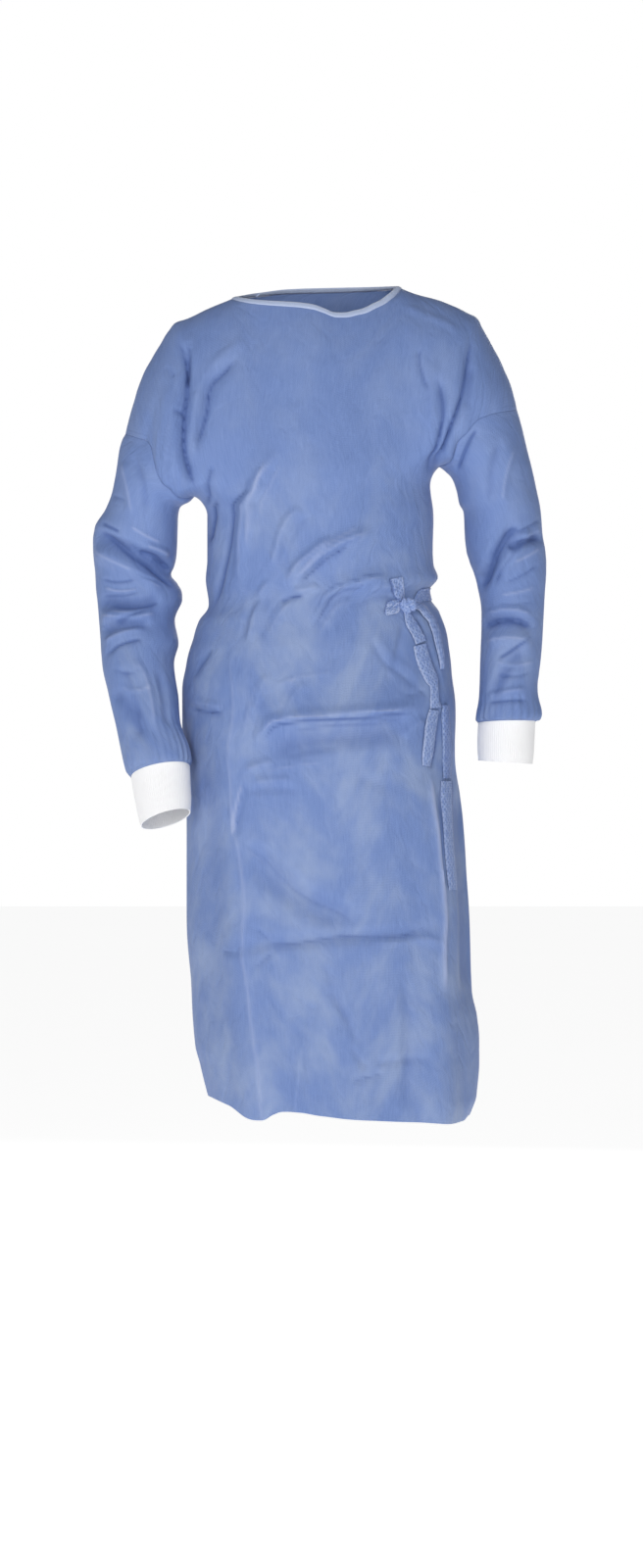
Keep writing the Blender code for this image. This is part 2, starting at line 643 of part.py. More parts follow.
def wall(name, outer, inner, turn, wrap, finish):
    """Add a closed wall between an outer and an inner grid of points."""
    rows, columns = outer.shape[:2]
    count = rows * columns
    spans = columns if wrap else columns - 1
    faces = []

    points = np.concatenate([outer.reshape(-1, 3), inner.reshape(-1, 3)])
    rank = points @ np.array(RIM_RANK)

    def face(*corners):
        """Keep a face, turned so that it points out."""
        faces.append(corners[::-1] if turn > 0 else corners)

    def rim(near, side):
        """Close the edge from near to side with the same diagonal on both sides of a seam."""
        if rank[near] > rank[side]:
            face(near, side, side + count)
            face(near, side + count, near + count)
        else:
            face(near, side, near + count)
            face(side, side + count, near + count)

    for row in range(rows - 1):
        for column in range(spans):
            near = row * columns + column
            side = row * columns + (column + 1) % columns
            face(near, near + columns, side + columns, side)
            face(near + count, side + count, side + columns + count, near + columns + count)
    for column in range(spans):
        low = (rows - 1) * columns
        rim(column, (column + 1) % columns)
        rim((column + 1) % columns + low, column + low)
    if not wrap:
        for row in range(rows - 1):
            near = row * columns
            far = near + columns - 1
            rim(near + columns, near)
            rim(far, far + columns)
    return add_solid(name, points, faces, finish)


def add_cloth():
    """Add the body panels, sleeves and cuffs, whose seams share their points."""
    row = body_rows()
    outer_across = outer_flap_across(row)
    inner_across = inner_flap_across(row)
    sleeves = {
        "sleeve_right": sleeve_halves(
            SLEEVE_RIGHT, ARMHOLE_RIGHT, SLEEVE_ROWS,
            SLEEVE_RIGHT_FRONT_FOLDS, SLEEVE_BACK_FOLDS_RIGHT, 1,
        ),
        "sleeve_left": sleeve_halves(
            SLEEVE_LEFT, ARMHOLE_LEFT, SLEEVE_ROWS,
            SLEEVE_LEFT_FRONT_FOLDS, SLEEVE_BACK_FOLDS_LEFT, -1,
        ),
        "cuff_right": sleeve_halves(CUFF_RIGHT, None, CUFF_ROWS, (), (), 1),
        "cuff_left": sleeve_halves(CUFF_LEFT, None, CUFF_ROWS, (), (), -1),
    }
    pieces = [
        ("front_panel", front_sheet(), -1, False, ("top", "start", "end"), CLOTH),
        ("back_panel_outer", back_sheet(outer_across, False), 1, False, ("top", "start"), CLOTH),
        ("back_panel_inner", back_sheet(inner_across, True), 1, False, ("top", "end"), CLOTH),
        ("sleeve_right", sleeves["sleeve_right"], -1, True, ("top", "bottom"), CLOTH),
        ("sleeve_left", sleeves["sleeve_left"], 1, True, ("top", "bottom"), CLOTH),
        ("cuff_right", sleeves["cuff_right"], -1, True, ("top",), KNIT),
        ("cuff_left", sleeves["cuff_left"], 1, True, ("top",), KNIT),
        ("neck_binding", binding_ring(), 1, False, ("bottom",), BINDING),
    ]
    walls = {CLOTH: (CLOTH_WALL, 0.0), KNIT: (CUFF_WALL, 0.0), BINDING: (BINDING_WALL, BINDING_PROUD)}
    normals = shared_normals([(grid, turn, wrap) for _, grid, turn, wrap, _, _ in pieces])
    for (name, grid, turn, wrap, edges, finish), normal in zip(pieces, normals):
        thickness, proud = walls[finish]
        outer = pull_in(grid + normal * proud, edges)
        inner = pull_in(grid - normal * (thickness - proud), edges)
        wall(name, outer, inner, turn, wrap, finish)


def binding_ring():
    """Return the binding's outer points: two rows round the neck, ends lapped behind."""
    top = np.zeros((1, 1))
    under = inner_flap_across(top)[0, :INNER_FLAP_COLUMNS]
    front = NECK_END - np.arange(NECK_COLUMNS) / COLUMNS
    over = outer_flap_across(top)[0, SHOULDER_COLUMNS:]
    rows = []
    for lower in (False, True):
        ring = []
        for side, across in ((1, under), (-1, front), (1, over)):
            share = (across - NECK_START) / (NECK_END - NECK_START)
            points = seen(*neck_line(side, share, lower))
            if across is under:
                tuck(points, flap_step(across, np.zeros_like(across)))
            ring.append(points)
        rows.append(np.concatenate(ring))
    return np.stack(rows)


def on_front(x, z):
    """Return points and outward normals of the front for points of the middle plane."""
    row = np.full(np.shape(x), 1.2)
    across = np.full(np.shape(x), 0.8)
    for _ in range(30):
        right_z = ARMPIT_RIGHT[1] + (HEM_RIGHT[1] - ARMPIT_RIGHT[1]) * (row - 1.0)
        left_z = ARMPIT_LEFT[1] + (HEM_LEFT[1] - ARMPIT_LEFT[1]) * (row - 1.0)
        right_x = curve(SIDE_RIGHT["z"], SIDE_RIGHT["x"], right_z)
        left_x = curve(SIDE_LEFT["z"], SIDE_LEFT["x"], left_z)
        chest = np.clip((x - right_x) / (left_x - right_x), 0.001, 0.999)
        across = np.arccos(1.0 - 2.0 * chest) / np.pi
        top = ARMPIT_RIGHT[1] + (ARMPIT_LEFT[1] - ARMPIT_RIGHT[1]) * chest
        bottom = HEM_RIGHT[1] + (HEM_LEFT[1] - HEM_RIGHT[1]) * chest
        row = 1.0 + np.clip((top - z) / (top - bottom), 0.0, 1.0)

    def at(place_across, place_row):
        """Return the front's point with its folds."""
        place = body(-1, place_across, place_row)
        step = 0.002
        run = seen(*body(-1, place_across + step, place_row)) - seen(*body(-1, place_across - step, place_row))
        drop = seen(*body(-1, place_across, place_row + step)) - seen(*body(-1, place_across, place_row - step))
        normal = -np.cross(run, drop)
        normal /= np.linalg.norm(normal, axis=-1, keepdims=True)
        rise = fold_height(FRONT_FOLDS, place[0], place[1]) * side_hold(place_across, place_row)
        return seen(*place) + normal * rise[..., None], normal

    return at(across, row)


def strip_grid(path):
    """Return plane points of a strip: a row for each step along it, three across."""
    path = np.array(path, dtype=float)
    key = np.arange(len(path), dtype=float)
    at = np.linspace(0.0, key[-1], TIE_STEPS * (len(path) - 1) + 1)
    x, z, width = (curve(key, path[:, column], at) for column in range(3))
    run = np.stack([np.gradient(x), np.gradient(z)], axis=-1)
    run /= np.linalg.norm(run, axis=-1, keepdims=True)
    offset = width[:, None] * np.array([-0.5, 0.0, 0.5])
    return x[:, None] - run[:, 1:] * offset, z[:, None] + run[:, :1] * offset


def add_tie(tie):
    """Add a strip that lies on the front."""
    points, normal = on_front(*strip_grid(tie.path))
    lower = points + normal * TIE_LIFT
    wall(tie.name, lower + normal * TIE_THICKNESS, lower, -1, False, TIE_CLOTH)


def add_belt():
    """Add the belt from the knot round the wearer's left side to the outer flap."""
    front = 1.0 - np.arange(BELT_FRONT_COLUMNS * BELT_STEPS, 0, -1) / BELT_STEPS / COLUMNS
    back = 1.0 - np.arange(BELT_BACK_COLUMNS * BELT_STEPS + 1) / BELT_STEPS / COLUMNS
    rows = np.array(BELT_ROWS)[:, None]
    grids = []
    for side, across in ((-1, front), (1, back)):
        wide = np.broadcast_to(across, (len(rows), len(across)))
        x, z, depth = body(side, wide, rows)
        folds = FRONT_FOLDS if side < 0 else BACK_FOLDS
        grids.append(folded(x, z, depth, folds, -1, side_hold(wide, rows)))
    grid = np.concatenate(grids, axis=1)
    normal = grid_normals(grid, -1)
    lower = grid + normal * TIE_LIFT
    wall("waist_belt", lower + normal * TIE_THICKNESS, lower, -1, False, TIE_CLOTH)


def add_knot():
    """Add the tied knot as a soft lump over the strips."""
    place, normal = on_front(np.array([[KNOT_PLACE[0]]]), np.array([[KNOT_PLACE[1]]]))
    centre = place[0, 0] + normal[0, 0] * KNOT_LIFT
    turns = 12
    rings = 7
    angle = 2.0 * np.pi * np.arange(turns) / turns
    tilt = np.pi * np.arange(1, rings) / rings
    ring = np.stack(
        [
            np.sin(tilt)[:, None] * np.cos(angle) * (1.0 + 0.12 * np.cos(3.0 * angle)),
            np.sin(tilt)[:, None] * np.sin(angle),
            np.cos(tilt)[:, None] * np.ones_like(angle),
        ],
        axis=-1,
    ).reshape(-1, 3)
    ends = np.array([[0.0, 0.0, 1.0], [0.0, 0.0, -1.0]])
    points = centre + 0.5 * np.array(KNOT_SIZE) * np.concatenate([ring, ends])
    faces = []
    for level in range(rings - 2):
        for turn in range(turns):
            near = level * turns + turn
            side = level * turns + (turn + 1) % turns
            faces.append((near, near + turns, side + turns, side))
    top, bottom = len(ring), len(ring) + 1
    last = (rings - 2) * turns
    for turn in range(turns):
        side = (turn + 1) % turns
        faces.append((top, turn, side))
        faces.append((bottom, last + side, last + turn))
    add_solid("tie_knot", points, faces, TIE_CLOTH)


def add_neck_tab():
    """Add the plain tab that closes the neck at the back, over the outer flap's edge."""
    across = np.linspace(NECK_TAB_START, NECK_TAB_END, 8)
    rows = np.linspace(*NECK_TAB_ROW, 5)[:, None]
    wide = np.broadcast_to(across, (len(rows), len(across)))
    x, z, depth = body(1, wide, rows)
    grid = folded(x, z, depth, BACK_FOLDS, 1, side_hold(wide, rows))
    normal = grid_normals(grid, 1)
    lower = grid + normal * TIE_LIFT
    wall("neck_tab", lower + normal * TIE_THICKNESS, lower, 1, False, TIE_CLOTH)


def clear_scene():
    """Remove what the scene holds."""
    for item in list(bpy.data.objects):
        bpy.data.objects.remove(item, do_unlink=True)


def main():
    """Build the gown."""
    clear_scene()
    add_cloth()
    add_belt()
    for tie in TIES:
        add_tie(tie)
    add_knot()
    add_neck_tab()


main()
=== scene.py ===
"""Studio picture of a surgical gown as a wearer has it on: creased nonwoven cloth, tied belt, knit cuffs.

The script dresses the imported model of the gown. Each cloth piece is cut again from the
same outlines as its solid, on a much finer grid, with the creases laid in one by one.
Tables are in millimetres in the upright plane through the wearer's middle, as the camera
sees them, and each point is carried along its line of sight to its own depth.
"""
import logging
from collections.abc import Iterable
from dataclasses import dataclass, field
from enum import Enum

import bpy
import numpy as np
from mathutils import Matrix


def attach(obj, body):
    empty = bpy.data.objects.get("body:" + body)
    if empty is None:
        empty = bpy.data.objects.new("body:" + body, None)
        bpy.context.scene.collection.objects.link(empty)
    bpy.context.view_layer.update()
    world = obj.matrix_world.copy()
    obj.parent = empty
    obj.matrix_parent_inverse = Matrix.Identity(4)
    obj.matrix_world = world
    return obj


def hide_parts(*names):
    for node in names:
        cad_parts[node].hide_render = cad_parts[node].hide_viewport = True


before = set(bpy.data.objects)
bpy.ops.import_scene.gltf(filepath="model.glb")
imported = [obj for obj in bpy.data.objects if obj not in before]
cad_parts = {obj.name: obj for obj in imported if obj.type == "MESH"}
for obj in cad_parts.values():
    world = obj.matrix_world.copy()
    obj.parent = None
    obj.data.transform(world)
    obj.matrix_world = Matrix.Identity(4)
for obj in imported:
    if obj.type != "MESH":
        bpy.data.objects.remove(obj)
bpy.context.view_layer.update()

Array = np.ndarray
Point = tuple[float, float]
Table = dict[str, Array]
Socket = bpy.types.NodeSocket
Tree = bpy.types.NodeTree
Piece = bpy.types.Object

MM = 0.001
BODY = "root"

# The camera's distance and the height of its eye, in millimetres
VIEW_DISTANCE = 4500.0
EYE_HEIGHT = -652.0

# Cells on a side of the square of random numbers behind the cloth's soft swells
NOISE_CELLS = 64

# Points that a crease's line is drawn with from one given point to the next
LINE_POINTS = 5

# How strongly a soft crease's height shows as painted shade and highlight,
# and the darkest and palest it may be
SOFT_PAINTED_TONE = 0.45
SOFT_PAINTED_TONE_LIMITS = (-1.9, 1.5)

# How strongly the painted highlight on a steep fold's crest shows beside the painted shade at its foot
STEP_CREST_HIGHLIGHT = 0.5

# The turn of a pattern that lies across the roll, in radians
DIAGONAL = 0.785

log = logging.getLogger("gown")


def table(columns: str, *rows: tuple[float, ...]) -> Table:
    """Return a short table as a dictionary from each column's name to its values.

    Args:
        columns: Names of the columns, with a space between.
        rows: One row of numbers each.

    Returns:
        The values of each column by its name.
    """
    return dict(zip(columns.split(), np.array(rows, dtype=float).T))


def ease(share: Array) -> Array:
    """Return shares from 0 to 1 with a soft start and a soft end."""
    return share * share * (3.0 - 2.0 * share)


def travelled(steps: Array) -> Array:
    """Return the length gone before and after each step of a line."""
    return np.concatenate([[0.0], np.cumsum(steps)])


def curve(keys: Array, values: Array, at: Array) -> Array:
    """Return a smooth curve through a table's values that never overshoots them.

    Args:
        keys: Rising or falling places of the values.
        values: The values to pass through.
        at: Places to read the curve at.

    Returns:
        The curve's values.
    """
    if keys[0] > keys[-1]:
        keys, values = keys[::-1], values[::-1]
    step = np.diff(keys)
    rise = np.diff(values) / step
    product = rise[:-1] * rise[1:]
    total = rise[:-1] + rise[1:]
    slope = np.concatenate([rise[:1], np.zeros(len(rise) - 1), rise[-1:]])
    steady = product > 0
    slope[1:-1][steady] = 2.0 * product[steady] / total[steady]
    at = np.clip(at, keys[0], keys[-1])
    index = np.clip(np.searchsorted(keys, at) - 1, 0, len(step) - 1)
    share = (at - keys[index]) / step[index]
    near = values[index] + share * step[index] * slope[index]
    far = values[index + 1] - (1.0 - share) * step[index] * slope[index + 1]
    blend = ease(share)
    return near * (1.0 - blend) + far * blend


def along(line: Table, share: Array) -> tuple[Array, Array]:
    """Return x and z at a share of the length of a table's line.

    Args:
        line: A table with columns x and z.
        share: Shares from 0 to 1.

    Returns:
        x and z in the middle plane.
    """
    length = travelled(np.hypot(np.diff(line["x"]), np.diff(line["z"])))
    at = np.asarray(share) * length[-1]
    return curve(length, line["x"], at), curve(length, line["z"], at)


def smooth_step(low: float, high: float, value: Array) -> Array:
    """Return 0 below low, 1 above high and a soft step between."""
    return ease(np.clip((value - low) / (high - low), 0.0, 1.0))


def arch(share: Array) -> Array:
    """Return the height of half an ellipse over a share of its width."""
    return np.sqrt(np.clip(1.0 - (2.0 * share - 1.0) ** 2, 0.0, 1.0))


def round_share(position: Array) -> Array:
    """Space positions from 0 to 1 so that points lie closer together at both ends."""
    return 0.5 - 0.5 * np.cos(np.pi * position)


def seen(x: Array, z: Array, depth: Array) -> Array:
    """Carry points of the middle plane along the line of sight.

    Args:
        x: Places across in the middle plane.
        z: Places up in the middle plane.
        depth: How far behind that plane the points lie.

    Returns:
        The points in space, in millimetres.
    """
    spread = (VIEW_DISTANCE + depth) / VIEW_DISTANCE
    return np.stack([x * spread, depth, EYE_HEIGHT + (z - EYE_HEIGHT) * spread], axis=-1)


def grid_normals(grid: Array, turn: int) -> Array:
    """Find the outward unit normals of a grid of points.

    Args:
        grid: Rows and columns of points.
        turn: 1 or -1, so that the normals point out of the gown.

    Returns:
        The normal at each point.
    """
    normal = turn * np.cross(np.gradient(grid, axis=1), np.gradient(grid, axis=0))
    return normal / np.maximum(np.linalg.norm(normal, axis=-1, keepdims=True), 1e-9)


def run_length(grid: Array, axis: int) -> Array:
    """Measure from a grid's first row or column to each point.

    Args:
        grid: Rows and columns of points.
        axis: 0 to measure down the rows, 1 across the columns.

    Returns:
        The length at each point, in millimetres.
    """
    steps = np.linalg.norm(np.diff(grid, axis=axis), axis=-1)
    pad = [(0, 0), (0, 0)]
    pad[axis] = (1, 0)
    return np.pad(np.cumsum(steps, axis=axis), pad)


def soft_noise(x: Array, z: Array, cell: Point, seed: int) -> Array:
    """Return seeded soft noise from -1 to 1 over points of the middle plane.

    Args:
        x: Places across.
        z: Places up.
        cell: Width and height of one swell, in millimetres.
        seed: Number that fixes the draw.

    Returns:
        The noise at each point.
    """
    draw = np.random.default_rng(seed).uniform(-1.0, 1.0, (NOISE_CELLS, NOISE_CELLS))
    across, up = x / cell[0], z / cell[1]
    column, row = np.floor(across).astype(int), np.floor(up).astype(int)
    share_x, share_z = across - column, up - row
    share_x, share_z = ease(share_x), ease(share_z)
    left, right = column % NOISE_CELLS, (column + 1) % NOISE_CELLS
    low, high = (
        draw[at % NOISE_CELLS, left] * (1 - share_x) + draw[at % NOISE_CELLS, right] * share_x
        for at in (row, row + 1)
    )
    return low * (1 - share_z) + high * share_z


def fine(count: int) -> int:
    return count


class Form(Enum):
    """How the cross section of a crease looks."""

    SOFT = "rounded roll"
    SHARP = "pressed line"
    STEP = "fold whose side right of its path is steep"


@dataclass(frozen=True)
class Crease:
    """A crease laid into the cloth: above zero for a ridge, below for a trough.

    Start and end are its heights, reach is half its width, and the path runs through
    points x, z of the middle plane, all in millimetres. Steep is the share of the reach
    that a steep side has, fade the share of the length over which each end runs out,
    and line width how wide the painted shade line of a trough and the painted
    highlight line of a ridge are drawn.
    """

    start: float
    end: float
    reach: float
    path: tuple[Point, ...]
    form: Form = Form.SOFT

    steep: float = 0.3
    fade: float = 0.2
    line_width: float = 2.7

    def line(self) -> Array:
        """Draw the path as a smooth line.

        Returns:
            The line's points.
        """
        path = np.array(self.path, dtype=float)
        length = travelled(np.hypot(*np.diff(path, axis=0).T))
        at = np.linspace(0.0, length[-1], LINE_POINTS * (len(path) - 1) + 1)
        return np.stack([curve(length, path[:, 0], at), curve(length, path[:, 1], at)], axis=-1)

    def profile(self, away: Array, on_right: Array) -> Array:
        """Give the crease's cross section.

        Args:
            away: Distances from the line.
            on_right: Whether each point lies right of the path.

        Returns:
            The share of the full height at each point.
        """
        if self.form is Form.SOFT:
            return 0.5 + 0.5 * np.cos(np.pi * np.clip(away / self.reach, 0.0, 1.0))
        if self.form is Form.SHARP:
            return (1.0 - np.clip(away / self.reach, 0.0, 1.0)) ** 2
        reach = np.where(on_right, self.steep * self.reach, self.reach)
        share = np.clip(away / reach, 0.0, 1.0)
        return (1.0 - share) ** 2 * (1.0 + 2.0 * share)

    def measure(self, x: Array, z: Array) -> tuple[Array, Array, Array, Array]:
        """Find how the points near the crease lie to it.

        Args:
            x: Places across of the points.
            z: Places up of the points.

        Returns:
            Which points are near, then for those their distance, the crease's height
            beside them, and whether they lie right of the path.
        """
        line = self.line()
        low, high = line.min(axis=0) - self.reach, line.max(axis=0) + self.reach
        near = (x > low[0]) & (x < high[0]) & (z > low[1]) & (z < high[1])
        x, z = x[near], z[near]
        nearest = np.full(x.shape, np.inf)
        share = np.zeros(x.shape)
        on_right = np.zeros(x.shape, dtype=bool)
        steps = np.hypot(*np.diff(line, axis=0).T)
        length = travelled(steps)
        for index, step in enumerate(steps):
            run_x, run_z = (line[index + 1] - line[index]) / step
            off_x, off_z = x - line[index, 0], z - line[index, 1]
            gone = np.clip(off_x * run_x + off_z * run_z, 0.0, step)
            away = np.hypot(off_x - gone * run_x, off_z - gone * run_z)
            closer = away < nearest
            nearest = np.where(closer, away, nearest)
            share = np.where(closer, (length[index] + gone) / length[-1], share)
            on_right = np.where(closer, run_x * off_z - run_z * off_x < 0.0, on_right)
        ends = smooth_step(0.0, self.fade, share) * smooth_step(0.0, self.fade, 1.0 - share)
        return near, nearest, (self.start + (self.end - self.start) * share) * ends, on_right

    def lay(self, height: Array, x: Array, z: Array) -> None:
        """Add the crease's height to a field of heights."""
        near, away, tall, on_right = self.measure(x, z)
        height[near] += tall * self.profile(away, on_right)

    def mark(self, tone: Array, x: Array, z: Array) -> None:
        """Add the crease's painted shade, below zero, and painted highlight, above, to a field of tones.

        Args:
            tone: The tones, changed in place.
            x: Places across of the points.
            z: Places up of the points.
        """
        near, away, tall, on_right = self.measure(x, z)
        # A thin line along the path: painted shade along a trough, painted highlight along a ridge
        line = np.exp(-(away / self.line_width) ** 2)
        # A soft ridge keeps the painted highlight line; a soft trough paints shade over its whole width
        if self.form is Form.SOFT:
            line = np.where(tall > 0.0, line, self.profile(away, on_right))
            tall = np.clip(SOFT_PAINTED_TONE * tall, *SOFT_PAINTED_TONE_LIMITS)
        # A steep fold gets a painted highlight on its crest and a painted shade line at the foot of its steep
        # side
        if self.form is Form.STEP:
            foot = np.exp(-((away - self.steep * self.reach) / self.line_width) ** 2)
            line = STEP_CREST_HIGHLIGHT * line - np.where(on_right, foot, 0.0)
        tone[near] += tall * line


def roll(start: float, end: float, reach: float, *path: Point) -> Crease:
    """Return a rounded roll or trough along a path."""
    return Crease(start, end, reach, path)


def press(start: float, end: float, reach: float, *path: Point, fade: float = 0.2) -> Crease:
    """Return a pressed line along a path."""
    return Crease(start, end, reach, path, Form.SHARP, fade=fade)


def fold(start: float, end: float, reach: float, *path: Point, steep: float = 0.3) -> Crease:
    """Return a roll whose side right of its path is steep."""
    return Crease(start, end, reach, path, Form.STEP, steep)


def crease_height(creases: Iterable[Crease], x: Array, z: Array) -> Array:
    """Return the height of all creases at points of the middle plane."""
    height = np.zeros(np.shape(x))
    for crease in creases:
        crease.lay(height, x, z)
    return height


def painted_crease_tone(creases: Iterable[Crease], x: Array, z: Array) -> Array:
    """Return the painted shade and highlight of all creases at points of the middle plane."""
    tone = np.zeros(np.shape(x))
    for crease in creases:
        crease.mark(tone, x, z)
    return tone


def relax(grid: Array, hold: Array, rounds: int) -> Array:
    """Return a grid with its kinks smoothed out where the hold is below one.

    Args:
        grid: The grid of points.
        hold: How firmly each point stays, from 0 to 1.
        rounds: How often each point moves towards the middle of its neighbours.

    Returns:
        The smoothed grid, with the same border.
    """
    grid = grid.copy()
    free = (1.0 - hold)[1:-1, 1:-1, None] * 0.5
    for _ in range(rounds):
        beside = grid[1:-1, :-2] + grid[1:-1, 2:] + grid[:-2, 1:-1] + grid[2:, 1:-1]
        grid[1:-1, 1:-1] += free * (0.25 * beside - grid[1:-1, 1:-1])
    return grid


def linear(colour: str) -> tuple[float, float, float, float]:
    """Turn an sRGB hex colour into linear red, green, blue and a full alpha."""
    shares = [int(colour[place:place + 2], 16) / 255.0 for place in (1, 3, 5)]
    return (*(c / 12.92 if c <= 0.04045 else ((c + 0.055) / 1.055) ** 2.4 for c in shares), 1.0)


def add_node(
    tree: Tree, kind: str, inputs: dict | None = None, **settings: object
) -> bpy.types.Node:
    """Add a node with its settings, and link or set its inputs.

    Args:
        tree: The material's or world's node tree.
        kind: Blender's name of the node type.
        inputs: Values or output sockets by the input's name or number.
        settings: Properties of the node.

    Returns:
        The new node.
    """
    made = tree.nodes.new(kind)
    for name, value in settings.items():
        setattr(made, name, value)
    for name, value in (inputs or {}).items():
        if isinstance(value, Socket):
            tree.links.new(value, made.inputs[name])
        else:
            made.inputs[name].default_value = value
    return made


@dataclass(frozen=True)
class Finish:
    """What all finishes share: a name, a roughness and a sheen on the shader itself."""

    name: str
    roughness: float
    sheen: float
    # Attribute ranges and strengths of the painted shade in troughs and the painted highlight on ridges
    trough_range: Point = (-4.0, -0.2)
    trough_shade_share: float = 0.85
    ridge_range: Point = (0.2, 3.5)
    ridge_highlight_share: float = 0.65

    def paint(self, tree: Tree) -> tuple[Socket, Socket]:
        """Build the finish's nodes.

        Args:
            tree: The node tree.

        Returns:
            The sockets that give the colour and the bumped normal.
        """
        raise NotImplementedError

    def material(self) -> bpy.types.Material:
        """Make the material of this finish once.

        Returns:
            The material.
        """
        known = bpy.data.materials.get(self.name)
        if known:
            return known
        made = bpy.data.materials.new(self.name)
        made.use_nodes = True
        tree = made.node_tree
        shader = tree.nodes["Principled BSDF"]
        colour, normal = self.paint(tree)
        tree.links.new(colour, shader.inputs["Base Color"])
        tree.links.new(normal, shader.inputs["Normal"])
        for name, value in (
            ("Roughness", self.roughness), ("Metallic", 0.0), ("IOR", 1.49),
            ("Specular IOR Level", 0.3), ("Sheen Weight", self.sheen), ("Sheen Roughness", 0.5),
        ):
            shader.inputs[name].default_value = value
        return made

    def texture(
        self, tree: Tree, kind: str, scale: Point, turn: float = 0.0, bend: Socket | None = None,
        feature: str = "", output: int | str = 0, **inputs: float,
    ) -> Socket:
        """Add a texture that lies on the cloth.

        Args:
            tree: The node tree.
            kind: Noise or Voronoi.
            scale: Repeats a metre, across and along the cloth.
            turn: How far the texture is turned, in radians.
            bend: A colour that bends the texture.
            feature: What the cells give, where that isn't the distance from their points.
            output: The output wanted, where that isn't the first.
            inputs: Values of the texture's own inputs.

        Returns:
            The texture's socket.
        """
        cloth = add_node(tree, "ShaderNodeUVMap", uv_map="cloth").outputs["UV"]
        place = {"Vector": cloth, "Scale": (*scale, 1.0), "Rotation": (0.0, 0.0, turn)}
        vector = add_node(tree, "ShaderNodeMapping", place).outputs["Vector"]
        if bend:
            vector = add_node(tree, "ShaderNodeVectorMath", {0: vector, 1: bend}, operation="ADD").outputs[0]
        settings = {kind.lower() + "_dimensions": "2D"} | ({"feature": feature} if feature else {})
        inputs = {"Vector": vector, "Scale": 1.0} | inputs
        return add_node(tree, "ShaderNodeTex" + kind, inputs, **settings).outputs[output]

    def mask(self, tree: Tree, *steps: tuple[Socket, float, float, float, float]) -> Socket:
        """Tell how far values have come through their ranges, multiplied where there are more.

        Args:
            tree: The node tree.
            steps: Each value, the start and end of its range, and the share at each.

        Returns:
            The socket with the share.
        """
        share = None
        for value, low, high, start, end in steps:
            step = add_node(
                tree, "ShaderNodeMapRange",
                {"Value": value, "From Min": low, "From Max": high, "To Min": start, "To Max": end},
                interpolation_type="SMOOTHSTEP",
            ).outputs["Result"]
            if share:
                step = add_node(tree, "ShaderNodeMath", {0: share, 1: step}, operation="MULTIPLY").outputs[0]
            share = step
        return share

    def laid(self, tree: Tree, base: str, *layers: tuple[Socket, str]) -> Socket:
        """Lay colours over a base colour.

        Args:
            tree: The node tree.
            base: The base colour.
            layers: Each mask, and the colour that it shows.

        Returns:
            The socket with the colour.
        """
        colour = linear(base)
        for share, over in layers:
            mix = add_node(tree, "ShaderNodeMix", {0: share, 6: colour, 7: linear(over)}, data_type="RGBA")
            colour = mix.outputs[2]
        return colour

    def pressed(self, tree: Tree, shade: str, painted_highlight: str) -> tuple[tuple[Socket, str], ...]:
        """Give the layers of painted shade in crease troughs and painted highlight on crease ridges.

        Args:
            tree: The node tree.
            shade: The painted shade colour in the deepest troughs.
            painted_highlight: The painted highlight colour on the highest ridges.

        Returns:
            Each layer's mask and colour.
        """
        crease = add_node(tree, "ShaderNodeAttribute", attribute_name="painted_crease_shading").outputs["Fac"]
        return (
            (self.mask(tree, (crease, *self.trough_range, self.trough_shade_share, 0.0)), shade),
            (self.mask(tree, (crease, *self.ridge_range, 0.0, self.ridge_highlight_share)), painted_highlight),
        )

    def bumps(self, tree: Tree, *layers: tuple[Socket, float]) -> Socket:
        """Lay relief over the smooth cloth.

        Args:
            tree: The node tree.
            layers: Each layer's height, and its depth in metres.

        Returns:
            The socket with the bumped normal.
        """
        normal = None
        for height, depth in layers:
            inputs = {"Height": height, "Distance": depth, "Strength": 1.0}
            if normal:
                inputs["Normal"] = normal
            normal = add_node(tree, "ShaderNodeBump", inputs).outputs["Normal"]
        return normal


